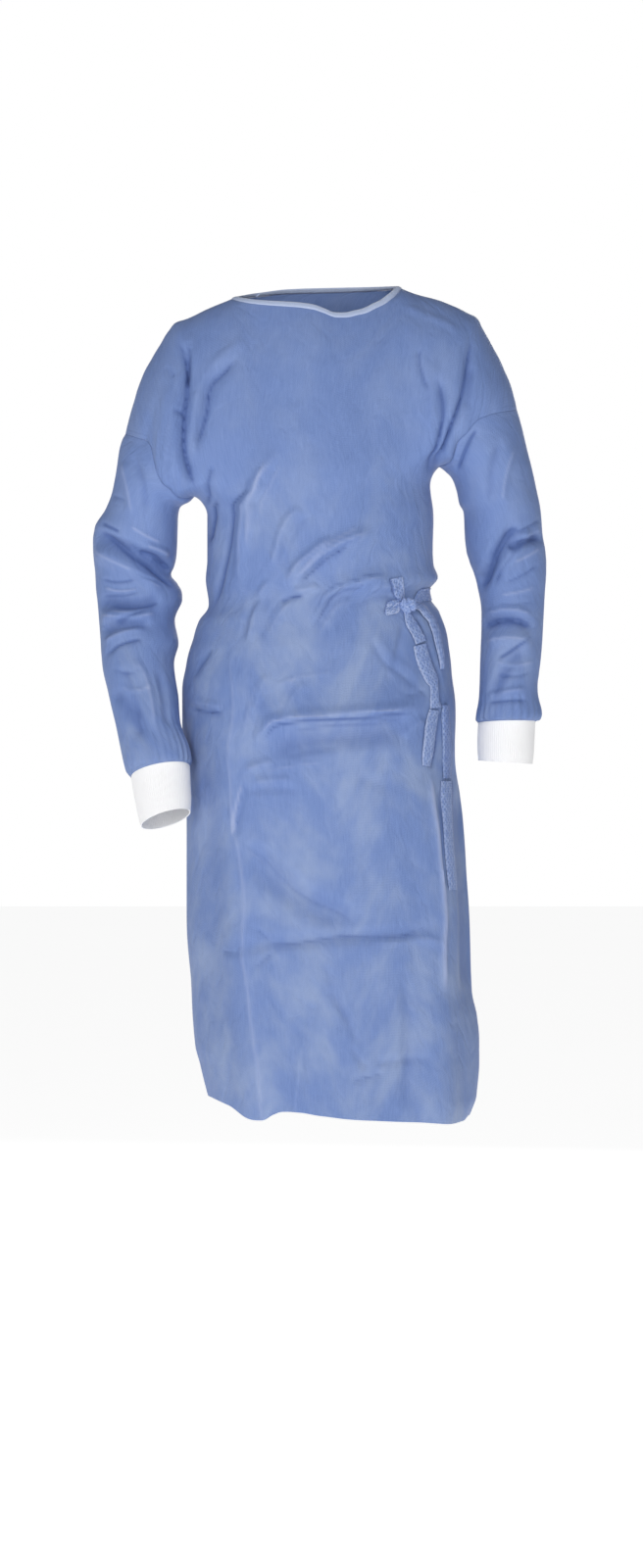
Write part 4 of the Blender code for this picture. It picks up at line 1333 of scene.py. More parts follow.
    def back_outer(self) -> Piece:
        """Build the flap that hangs from the wearer's right and laps over the other.

        Returns:
            The finished flap.
        """
        row = self.rows()
        edge = curve(self.flap_edges["row"], self.flap_edges["outer"], row)
        shoulder, rest = fine(42), fine(62)
        start = np.arange(shoulder) / shoulder * self.neck_start * np.ones_like(row)
        share = np.arange(rest + 1) / rest
        across = np.concatenate([start, self.neck_start + (edge - self.neck_start) * share], axis=1)
        sink = smooth_step(-self.edge_width, 0.0, across - edge) * smooth_step(0.12, 0.4, row)
        grid = self.tuck(self.surface(1, across, row, 1), self.edge_sink * sink)
        return ClothPiece(
            "back_cloth_outer", "back_panel_outer", "blue_nonwoven", GOWN_CLOTH, Cut(0.55, 1.12, 0.42),
            grid, 1, seam=self.seam_distance(grid, across, True, False), tone=self.tone(1, across, row),
        ).make()

    def back_inner(self) -> Piece:
        """Build the flap that hangs from the wearer's left and lies under the other.

        Returns:
            The finished flap.
        """
        row = self.rows()
        edge = curve(self.flap_edges["row"], self.flap_edges["inner"], row)
        shoulder, rest = fine(42), fine(36)
        share = np.arange(rest) / rest
        end = (self.neck_end + np.arange(shoulder + 1) / shoulder * (1.0 - self.neck_end)) * np.ones_like(row)
        across = np.concatenate([edge + (self.neck_end - edge) * share, end], axis=1)
        grid = self.tuck(self.surface(1, across, row, 1), self.tuck_step(across, row))
        return ClothPiece(
            "back_cloth_inner", "back_panel_inner", "blue_nonwoven", GOWN_CLOTH, Cut(0.50, 1.12, 0.36),
            grid, 1, seam=self.seam_distance(grid, across, False, True), tone=self.tone(1, across, row),
        ).make()

    def binding(self) -> Piece:
        """Build the tape folded over the neck edge, with its ends lapped at the back.

        Returns:
            The finished binding.
        """
        inner_end, outer_end = self.flap_edges["inner"][0], self.flap_edges["outer"][0]
        under = np.linspace(inner_end, self.neck_end, fine(60), endpoint=False)
        front = np.linspace(self.neck_end, self.neck_start, fine(120), endpoint=False)
        over = np.linspace(self.neck_start, outer_end, fine(60))
        width = self.neck_end - self.neck_start
        lines = []
        for lower in (False, True):
            ring = []
            for side, across in ((1, under), (-1, front), (1, over)):
                points = seen(*self.neck_line(side, (across - self.neck_start) / width, lower))
                if across is under:
                    points = self.tuck(points, self.tuck_step(across, np.zeros_like(across)))
                ring.append(points)
            lines.append(np.concatenate(ring))
        share = np.linspace(0.0, 1.0, 9)[:, None, None]
        middle = lines[0] + (lines[1] - lines[0]) * share
        normal = grid_normals(middle, 1)
        plump = self.tape_height * (1.0 - np.abs(2.0 * share - 1.0) ** 5) + 0.08
        ripple = np.sin(np.arange(middle.shape[1]) * 1.7)[None, :, None] * np.sin(np.pi * share)
        ripple = self.tape_ripple * ripple
        outer = middle + normal * (0.1 + plump + ripple)
        thickness = np.broadcast_to(2.0 * plump[..., 0], outer.shape[:2])
        return ClothPiece(
            "neck_binding_tape", "neck_binding", "pale_binding", BINDING,
            Cut(0.62, 0.012, held="stretched", rests_on=("front_cloth",)), outer, 1, thickness=thickness,
        ).make()

    def neck_tab(self) -> Piece:
        """Build the plain tab that closes the neck at the back.

        Returns:
            The finished tab.
        """
        across = np.linspace(*self.tab_across, fine(40))
        rows = np.linspace(*self.tab_rows, fine(30))[:, None]
        wide = np.broadcast_to(across, (len(rows), len(across)))
        grid = self.surface(1, wide, rows, 1)
        lifted = grid + grid_normals(grid, 1) * self.tab_lift
        return ClothPiece(
            "neck_tab_cloth", "neck_tab", "blue_tie_nonwoven", TIE_CLOTH,
            Cut(0.05, 0.045, held="laid", rests_on=("back_cloth_outer",)), lifted, 1,
        ).make()


@dataclass
class SleeveTube:
    """A sleeve or cuff as rings between an outer and an inner outline."""

    name: str
    node: str
    turn: int
    cut: Cut
    sections: Table
    armhole: Table | None = None
    front_creases: tuple[Crease, ...] = ()
    back_creases: tuple[Crease, ...] = ()
    rows: int = 170
    around: int = 54
    seam_fade: float = 0.16
    gathers: int = 26
    gather_height: float = 1.1
    relief: float = 1.15
    painted_tone_strength: float = 1.3
    cuff_puff: float = 2.2

    def rings(self) -> tuple[Array, Array, Array]:
        """Return the rings and the places of their points.

        Returns:
            The grid of points, the share along the sleeve of each row, and the painted
            shade and highlight of the creases.
        """
        rows, half = fine(self.rows), fine(self.around)
        row = (np.arange(rows + 1) / rows)[:, None]
        key = np.linspace(0.0, 1.0, len(self.sections["middle"]))
        at = {name: curve(key, values, row) for name, values in self.sections.items()}
        width = round_share(np.arange(half + 1) / half)[None, :]
        halves, tones = [], []
        for side, creases in ((-1, self.front_creases), (1, self.back_creases)):
            x = at["outer_x"] + (at["inner_x"] - at["outer_x"]) * width
            z = at["outer_z"] + (at["inner_z"] - at["outer_z"]) * width
            if self.armhole:
                seam_x, seam_z = along(self.armhole, width)
                fade = 1.0 - smooth_step(0.0, self.seam_fade, row)
                x = x + (seam_x - x[:1]) * fade
                z = z + (seam_z - z[:1]) * fade
            reach = side * at["front" if side < 0 else "back"] * arch(width)
            hold = smooth_step(0.0, 0.06, width) * smooth_step(0.0, 0.06, 1.0 - width)
            hold = hold * smooth_step(0.0, 0.05, row) * smooth_step(0.0, 0.08, 1.0 - row)
            grid = seen(x, z - at["rise"] * reach, at["middle"] + reach)
            height = crease_height(creases, x, z) * self.relief
            # Painted shade along the sleeve's crease troughs and painted highlight on its ridges
            tone = painted_crease_tone(creases, x, z) * self.painted_tone_strength * hold
            if self.armhole:
                height = height + soft_noise(x, z, (26.0, 40.0), 41 + side) * 0.9
                height = height + soft_noise(x, z, (60.0, 22.0), 51 + side) * 0.8
            normal = grid_normals(grid, -side * self.turn)
            grid = grid + normal * (height * hold)[..., None]
            halves.append(grid if side < 0 else grid[:, -2:0:-1])
            tones.append(tone if side < 0 else tone[:, -2:0:-1])
        return np.concatenate(halves, axis=1), row, np.concatenate(tones, axis=1)

    def gather(self, grid: Array, row: Array) -> Array:
        """Gather the sleeve where it is eased into the cuff.

        Args:
            grid: The sleeve's points.
            row: The share along the sleeve of each row.

        Returns:
            The gathered points.
        """
        place = ClothPiece("", "", "", GOWN_CLOTH, self.cut, grid, self.turn, True)
        turn = np.arange(grid.shape[1]) / grid.shape[1]
        uneven = 1.0 + 0.5 * np.sin(2.0 * np.pi * 5.0 * turn + 1.0)
        wave = np.cos(2.0 * np.pi * self.gathers * turn + 1.5 * np.sin(2.0 * np.pi * 3.0 * turn)) * uneven
        fade = smooth_step(0.80, 0.97, row) * (1.0 - smooth_step(0.985, 1.0, row))
        puff = self.cuff_puff * smooth_step(0.86, 0.97, row) * (1.0 - smooth_step(0.975, 1.0, row))
        return grid + place.normals() * (self.gather_height * wave[None, :] * fade + puff)[..., None]

    def seam_distance(self, grid: Array) -> Array:
        """Tell how far each point is from the armhole, underarm and cuff seams.

        Args:
            grid: The sleeve's points.

        Returns:
            The distances in millimetres.
        """
        down = run_length(grid, 0)
        across = run_length(grid, 1)
        inner = fine(self.around)
        from_inner = np.abs(across - across[:, inner:inner + 1])
        return np.minimum(np.minimum(down, down[-1:] - down), from_inner)

    def make(self) -> Piece:
        """Build the sleeve.

        Returns:
            The finished sleeve.
        """
        grid, row, tone = self.rings()
        grid = self.gather(grid, row)
        return ClothPiece(
            self.name, self.node, "blue_nonwoven", GOWN_CLOTH, self.cut, grid, self.turn, True,
            seam=self.seam_distance(grid), tone=tone,
        ).make()


@dataclass
class KnitCuff(SleeveTube):
    """A rib knit cuff: the ribs stand out of the tube and run from seam to wrist."""

    rib_pitch: float = 3.0
    rib_height: float = 0.55
    points_a_rib: int = 6
    rows: int = 26

    def make(self) -> Piece:
        """Build the cuff.

        Returns:
            The finished cuff.
        """
        coarse, row, _ = self.rings()
        closed = np.concatenate([coarse, coarse[:, :1]], axis=1)
        length = run_length(closed, 1)[0]
        ribs = int(length[-1] / self.rib_pitch)
        count = ribs * self.points_a_rib
        at = np.arange(count) / count * length[-1]
        index = np.clip(np.searchsorted(length, at, side="right") - 1, 0, len(length) - 2)
        share = ((at - length[index]) / (length[index + 1] - length[index]))[None, :, None]
        grid = closed[:, index] * (1.0 - share) + closed[:, index + 1] * share
        wave = 0.5 + 0.5 * np.cos(2.0 * np.pi * ribs * np.arange(count) / count)
        rib = np.sqrt(wave)[None, :] * np.ones_like(row)
        plain = ClothPiece("", "", "", KNIT, self.cut, grid, self.turn, True)
        ends = smooth_step(0.0, 0.12, row) * (0.5 + 0.5 * smooth_step(0.0, 0.1, 1.0 - row))
        swell = 1.1 * np.sin(np.pi * np.clip(row, 0.0, 1.0)) - 0.6
        grid = grid + plain.normals() * (self.rib_height * (rib - 1.0) * ends + swell)[..., None]
        return ClothPiece(
            self.name, self.node, "white_rib_knit", KNIT, self.cut, grid, self.turn, True,
            seam=rib, thickness=1.4, attribute="rib",
        ).make()


@dataclass(frozen=True)
class TieStrip:
    """A tie end that lies on the front: its middle line as x, z and width, and its lift."""

    node: str
    path: tuple[tuple[float, float, float], ...]
    cut: Cut
    lift: float = 1.5
    crown: float = 1.2
    roll: float = 0.0
    # Strengths of the painted highlight on the left edge, the painted shade on the right edge and the painted
    # shade over the whole strip
    lit: float = 2.5
    shaded_edge: float = 3.5
    shade: float = 0.0
    finish: Finish = TIE_CLOTH
    steps: int = 14
    across: int = 12

    def grid(self) -> tuple[Array, Array, Array]:
        """Lay the strip out in the middle plane.

        Returns:
            x and z of its points, and the shares across it.
        """
        path = np.array(self.path, dtype=float)
        key = np.arange(len(path), dtype=float)
        at = np.linspace(0.0, key[-1], fine(self.steps) * (len(path) - 1) + 1)
        x, z, width = (curve(key, path[:, column], at) for column in range(3))
        run = np.stack([np.gradient(x), np.gradient(z)], axis=-1)
        run /= np.linalg.norm(run, axis=-1, keepdims=True)
        share = np.linspace(-0.5, 0.5, self.across + 1)
        offset = width[:, None] * share
        return x[:, None] - run[:, 1:] * offset, z[:, None] + run[:, :1] * offset, share

    def make(self, body: GownBody) -> Piece:
        """Build the strip on the gown's front.

        Args:
            body: The gown's body.

        Returns:
            The finished strip.
        """
        x, z, share = self.grid()
        points, normal = body.on_front(x, z)
        run = np.linspace(0.0, 1.0, len(x))[:, None]
        lift = self.lift + self.crown * (1.0 - 4.0 * share ** 2) + self.roll * share * np.sin(np.pi * run)
        lift = lift + 0.35 * np.sin(9.0 * run + 5.0 * share) * np.sin(np.pi * run)
        # Painted highlight along the left edge, painted shade along the right edge and over the strip
        lit, shaded_edge = smooth_step(0.3, 0.47, -share), smooth_step(0.3, 0.47, share)
        tone = (self.lit * lit - self.shaded_edge * shaded_edge - self.shade) * np.ones_like(run)
        return ClothPiece(
            self.node + "_strip", self.node, "blue_tie_nonwoven", self.finish, self.cut,
            points + normal * lift[..., None], -1, tone=tone,
        ).make()


@dataclass
class TiedBelt:
    """The belt round the wearer's left side, and the knot on the front."""

    front_start: float = 0.795
    back_end: float = 0.75
    row_start: float = 1.187
    row_end: float = 1.207
    knot_drop: float = 0.017
    knot_place: Point = (113.0, -413.0)
    knot_size: tuple[float, float, float] = (22.0, 11.0, 20.0)
    knot_lift: float = 7.6

    def knot(self, body: GownBody) -> Piece:
        """Build the knot from a ball whose skin is drawn into wraps of the strip.

        Args:
            body: The gown's body.

        Returns:
            The finished knot.
        """
        x, z = self.knot_place
        place, normal = body.on_front(np.array([[x]]), np.array([[z]]))
        centre = (place[0, 0] + normal[0, 0] * self.knot_lift) * MM
        bpy.ops.object.select_all(action="DESELECT")
        bpy.ops.mesh.primitive_uv_sphere_add(segments=48, ring_count=32, radius=0.5)
        knot = bpy.context.object
        knot.name = knot.data.name = "tie_knot_wraps"
        points = np.empty(len(knot.data.vertices) * 3)
        knot.data.vertices.foreach_get("co", points)
        points = points.reshape(-1, 3)
        angle = np.arctan2(points[:, 2], points[:, 0])
        reach = np.hypot(points[:, 2], points[:, 0])
        wraps = 0.10 * np.abs(np.sin(2.5 * angle + 4.0 * points[:, 1])) + 0.07 * np.cos(9.0 * angle) * reach
        waist = 0.16 * np.exp(-((points[:, 0] + 0.4 * points[:, 2] - 0.08) / 0.07) ** 2)
        points = points * (1.0 + wraps - waist)[:, None] * np.array(self.knot_size) * MM + centre
        knot.data.vertices.foreach_set("co", points.ravel())
        smooth = knot.modifiers.new("Subdivision", "SUBSURF")
        smooth.levels = smooth.render_levels = 1
        bpy.ops.object.modifier_apply(modifier=smooth.name)
        knot.data.uv_layers[0].name = "cloth"
        flat = np.empty(len(knot.data.loops) * 2)
        knot.data.uv_layers[0].data.foreach_get("uv", flat)
        knot.data.uv_layers[0].data.foreach_set("uv", flat * 0.05)
        knot.data.materials.clear()
        knot.data.materials.append(TIE_CLOTH.material())
        knot.data.shade_smooth()
        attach(knot, BODY)
        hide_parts("tie_knot")
        log.info("%s: %d faces", knot.name, len(knot.data.polygons))
        return knot

    def make(self, body: GownBody) -> None:
        """Build the knot and the belt that it ties.

        Args:
            body: The gown's body.
        """
        knot = self.knot(body)
        front = np.linspace(self.front_start, 1.0, fine(70), endpoint=False)
        back = np.linspace(1.0, self.back_end, fine(80))
        share = np.linspace(0.0, 1.0, 15)[:, None]
        grids = []
        for side, across in ((-1, front), (1, back)):
            wide = np.broadcast_to(across, (len(share), len(across)))
            pinch = smooth_step(self.front_start, 0.88, wide) if side < 0 else np.ones_like(wide)
            middle = 0.5 * (self.row_start + self.row_end) + self.knot_drop * (1.0 - pinch)
            half = 0.5 * (self.row_end - self.row_start) * (0.35 + 0.65 * pinch)
            row = middle + half * (2.0 * share - 1.0)
            grids.append(body.surface(side, wide, row, -1))
        grid = np.concatenate(grids, axis=1)
        crown = 1.4 + 1.3 * (1.0 - (2.0 * share - 1.0) ** 2)
        ripple = 0.3 * np.sin(np.arange(grid.shape[1]) * 0.31)[None, :] * (2.0 * share - 1.0)
        lifted = grid + grid_normals(grid, -1) * (crown + ripple)[..., None]
        pattern = np.stack([run_length(lifted, 0), run_length(lifted, 1)], axis=-1)
        ClothPiece(
            "waist_belt_strip", "waist_belt", "blue_tie_nonwoven", TIE_CLOTH,
            Cut(0.018, 0.19, held="stretched", rests_on=("front_cloth", "back_cloth_outer")),
            lifted, -1, pattern=pattern,
        ).make(with_pieces=[knot])


@dataclass
class Studio:
    """The plain pale floor, soft light and the camera at the photograph's angle."""

    floor_height: float = -1.556
    frame_height: float = 2.128
    sensor: float = 36.0

    def camera(self) -> None:
        """Place the camera level with the middle of the frame."""
        data = bpy.data.cameras.new("studio_camera")
        data.sensor_fit = "VERTICAL"
        data.sensor_height = self.sensor
        data.lens = self.sensor * VIEW_DISTANCE * MM / self.frame_height
        camera = bpy.data.objects.new("studio_camera", data)
        camera.location = (0.0, -VIEW_DISTANCE * MM, EYE_HEIGHT * MM)
        camera.rotation_euler = (np.pi / 2, 0.0, 0.0)
        bpy.context.scene.collection.objects.link(camera)
        bpy.context.scene.camera = camera

    def floor(self) -> None:
        """Lay a plain white floor under the gown."""
        bpy.ops.object.select_all(action="DESELECT")
        bpy.ops.mesh.primitive_plane_add(size=40.0, location=(0.0, 0.0, self.floor_height))
        floor = bpy.context.object
        floor.name = "studio_floor"
        paint = bpy.data.materials.new("white_studio_floor")
        paint.use_nodes = True
        tree = paint.node_tree
        shader = tree.nodes["Principled BSDF"]
        speck = add_node(tree, "ShaderNodeTexNoise", {"Scale": 40.0})
        tone = add_node(
            tree, "ShaderNodeMix",
            {0: speck.outputs["Fac"], 6: linear("#FAFAFA"), 7: linear("#FFFFFF")}, data_type="RGBA",
        )
        tree.links.new(tone.outputs[2], shader.inputs["Base Color"])
        shader.inputs["Roughness"].default_value = 0.9
        shader.inputs["Emission Color"].default_value = linear("#FFFFFF")
        shader.inputs["Emission Strength"].default_value = 0.75
        floor.data.materials.append(paint)

    def area(self, name: str, place: tuple[float, float, float], size: float, power: float) -> None:
        """Add a square soft light that faces the gown.

        Args:
            name: The light's name.
            place: Where it stands, in metres.
            size: Its side, in metres.
            power: Its power, in watts.
        """
        data = bpy.data.lights.new(name, "AREA")
        data.size = size
        data.energy = power
        light = bpy.data.objects.new(name, data)
        light.location = place
        aim = np.array([0.0, 0.0, -0.55]) - np.array(place)
        yaw = np.arctan2(aim[1], aim[0]) - np.pi / 2
        pitch = np.arccos(-aim[2] / np.linalg.norm(aim))
        light.rotation_euler = (pitch, 0.0, yaw)
        bpy.context.scene.collection.objects.link(light)

    def light(self) -> None:
        """Light the gown softly from in front and above, in a white room."""
        self.area("key_softbox", (-1.0, -2.7, 0.15), 1.0, 33.0)
        self.area("fill_softbox", (1.4, -2.9, 0.0), 1.5, 15.0)
        self.area("top_softbox", (-0.4, -1.7, 2.1), 1.4, 7.0)
        self.area("back_softbox", (0.5, 3.1, 0.5), 1.6, 34.0)
        world = bpy.data.worlds.new("white_room")
        bpy.context.scene.world = world
        world.use_nodes = True
        tree = world.node_tree
        tree.nodes.clear()
        soft = add_node(tree, "ShaderNodeBackground", {"Color": (1.0, 1.0, 1.0, 1.0), "Strength": 0.20})
        plain = add_node(tree, "ShaderNodeBackground", {"Color": (1.0, 1.0, 1.0, 1.0), "Strength": 1.0})
        path = add_node(tree, "ShaderNodeLightPath")
        mixed = add_node(
            tree, "ShaderNodeMixShader",
            {0: path.outputs["Is Camera Ray"], 1: soft.outputs[0], 2: plain.outputs[0]},
        )
        add_node(tree, "ShaderNodeOutputWorld", {"Surface": mixed.outputs[0]})

    def set_up(self) -> None:
        """Set up camera, floor and light, and show colours as they are."""
        self.camera()
        self.floor()
        self.light()
        bpy.context.scene.view_settings.view_transform = "Standard"


SLEEVE_COLUMNS = "outer_x outer_z inner_x inner_z middle front back rise"
SLEEVE_RIGHT = table(
    SLEEVE_COLUMNS,
    (-266, -177, -170, -259, 0, 76, 76, 0.00),
    (-273, -193, -179, -269, 0, 74, 74, 0.00),
    (-280, -236, -193, -280, 2, 68, 70, 0.00),
    (-292, -277, -195, -304, 5, 62, 66, 0.00),
    (-308, -306, -196, -331, 9, 59, 62, 0.00),
    (-310, -330, -200, -357, 13, 57, 60, 0.00),
    (-307, -366, -204, -368, 16, 55, 58, 0.00),
    (-306, -386, -195, -381, 17, 55, 57, 0.02),
    (-304, -404, -189, -402, 14, 55, 56, 0.05),
    (-302, -428, -199, -430, 6, 54, 54, 0.10),
    (-300, -454, -194, -461, -4, 53, 53, 0.16),
    (-298, -484, -200, -489, -16, 51, 51, 0.21),
    (-290, -525, -194, -535, -33, 47, 47, 0.25),
    (-279, -570, -192, -566, -49, 43, 43, 0.28),
    (-267, -616, -180, -607, -64, 40, 40, 0.30),
    (-259, -642, -178, -628, -71, 38, 38, 0.31),
)
SLEEVE_LEFT = table(
    SLEEVE_COLUMNS,
    (265, -144, 158, -221, 0, 76, 76, 0.00),
    (270, -161, 169, -229, 0, 74, 74, 0.00),
    (279, -198, 182, -250, 2, 69, 70, 0.00),
    (291, -249, 187, -272, 4, 63, 66, 0.00),
    (298, -288, 193, -286, 8, 60, 62, 0.00),
    (300, -314, 194, -307, 11, 57, 60, 0.00),
    (304, -338, 196, -331, 13, 55, 58, 0.00),
    (305, -359, 201, -351, 15, 54, 57, 0.00),
    (303, -394, 212, -386, 16, 52, 54, 0.00),
    (301, -432, 217, -430, 14, 50, 52, 0.02),
    (298, -478, 216, -466, 8, 48, 50, 0.04),
    (295, -503, 215, -496, 4, 46, 47, 0.05),
    (293, -526, 214, -531, 0, 44, 44, 0.06),
    (296, -552, 212, -556, -4, 42, 42, 0.06),
    (291, -567, 212, -569, -6, 39, 39, 0.06),
)
CUFF_RIGHT = table(
    SLEEVE_COLUMNS,
    (-259, -642, -178, -628, -71, 38, 38, 0.31),
    (-255, -662, -178, -649, -77, 36, 36, 0.31),
    (-250, -688, -177, -672, -85, 35, 35, 0.31),
    (-246, -709, -177, -690, -91, 35, 35, 0.31),
)
CUFF_LEFT = table(
    SLEEVE_COLUMNS,
    (291, -567, 212, -569, -6, 39, 39, 0.06),
    (289, -586, 212, -586, -7, 37, 37, 0.04),
    (288, -606, 212, -604, -9, 36, 36, 0.02),
    (287, -625, 212, -620, -10, 36, 36, 0.00),
)

# Large folds of the front, as in its solid
FRONT_FOLDS = (
    roll(4, 13, 46, (-118, -455), (-124, -612), (-109, -746), (-104, -872), (-90, -984), (-76, -1180)),
    roll(5, 11, 38, (147, -620), (154, -721), (162, -834), (161, -943), (165, -1180)),
    fold(
        6, 5, 44, (-98, -606), (-78, -584), (-55, -567), (9, -560), (65, -556), (145, -546), steep=0.28,
    ),
    roll(-6, -5, 25, (-80, -612), (-30, -593), (60, -582), (140, -571)),
    roll(5, 3.5, 20, (98, -370), (77, -371), (44, -380), (13, -391), (-2, -412), (-18, -446)),
    roll(-3.5, -3, 16, (64, -388), (34, -391), (14, -402), (2, -420), (-12, -448)),
    roll(3, 3.5, 22, (70, -303), (30, -322), (-15, -350), (-50, -386)),
    roll(-2.5, -3, 20, (-98, -226), (-120, -271), (-126, -306), (-137, -367), (-148, -419)),
    roll(3, 2, 22, (-64, -188), (-90, -235), (-104, -290), (-110, -350)),
    roll(-4, -7, 16, (-200, -34), (-183, -100), (-186, -174), (-180, -223), (-166, -262)),
    roll(-2.5, -3.5, 16, (-108, -66), (-130, -88), (-153, -124), (-166, -186), (-168, -205)),
    roll(-4, -7, 16, (209, -33), (202, -66), (193, -114), (178, -160), (166, -200), (147, -236)),
    roll(-3, -4, 16, (150, -92), (164, -124), (164, -160), (152, -205), (144, -240)),
    roll(-6, -7, 34, (-112, -727), (-84, -750), (-40, -792), (28, -831), (60, -856)),
    roll(-4, -4, 16, (-137, -876), (-60, -867), (50, -859), (110, -856), (168, -832)),
    roll(-2.5, -1.5, 16, (-150, -468), (-166, -486), (-180, -508), (-188, -530)),
)

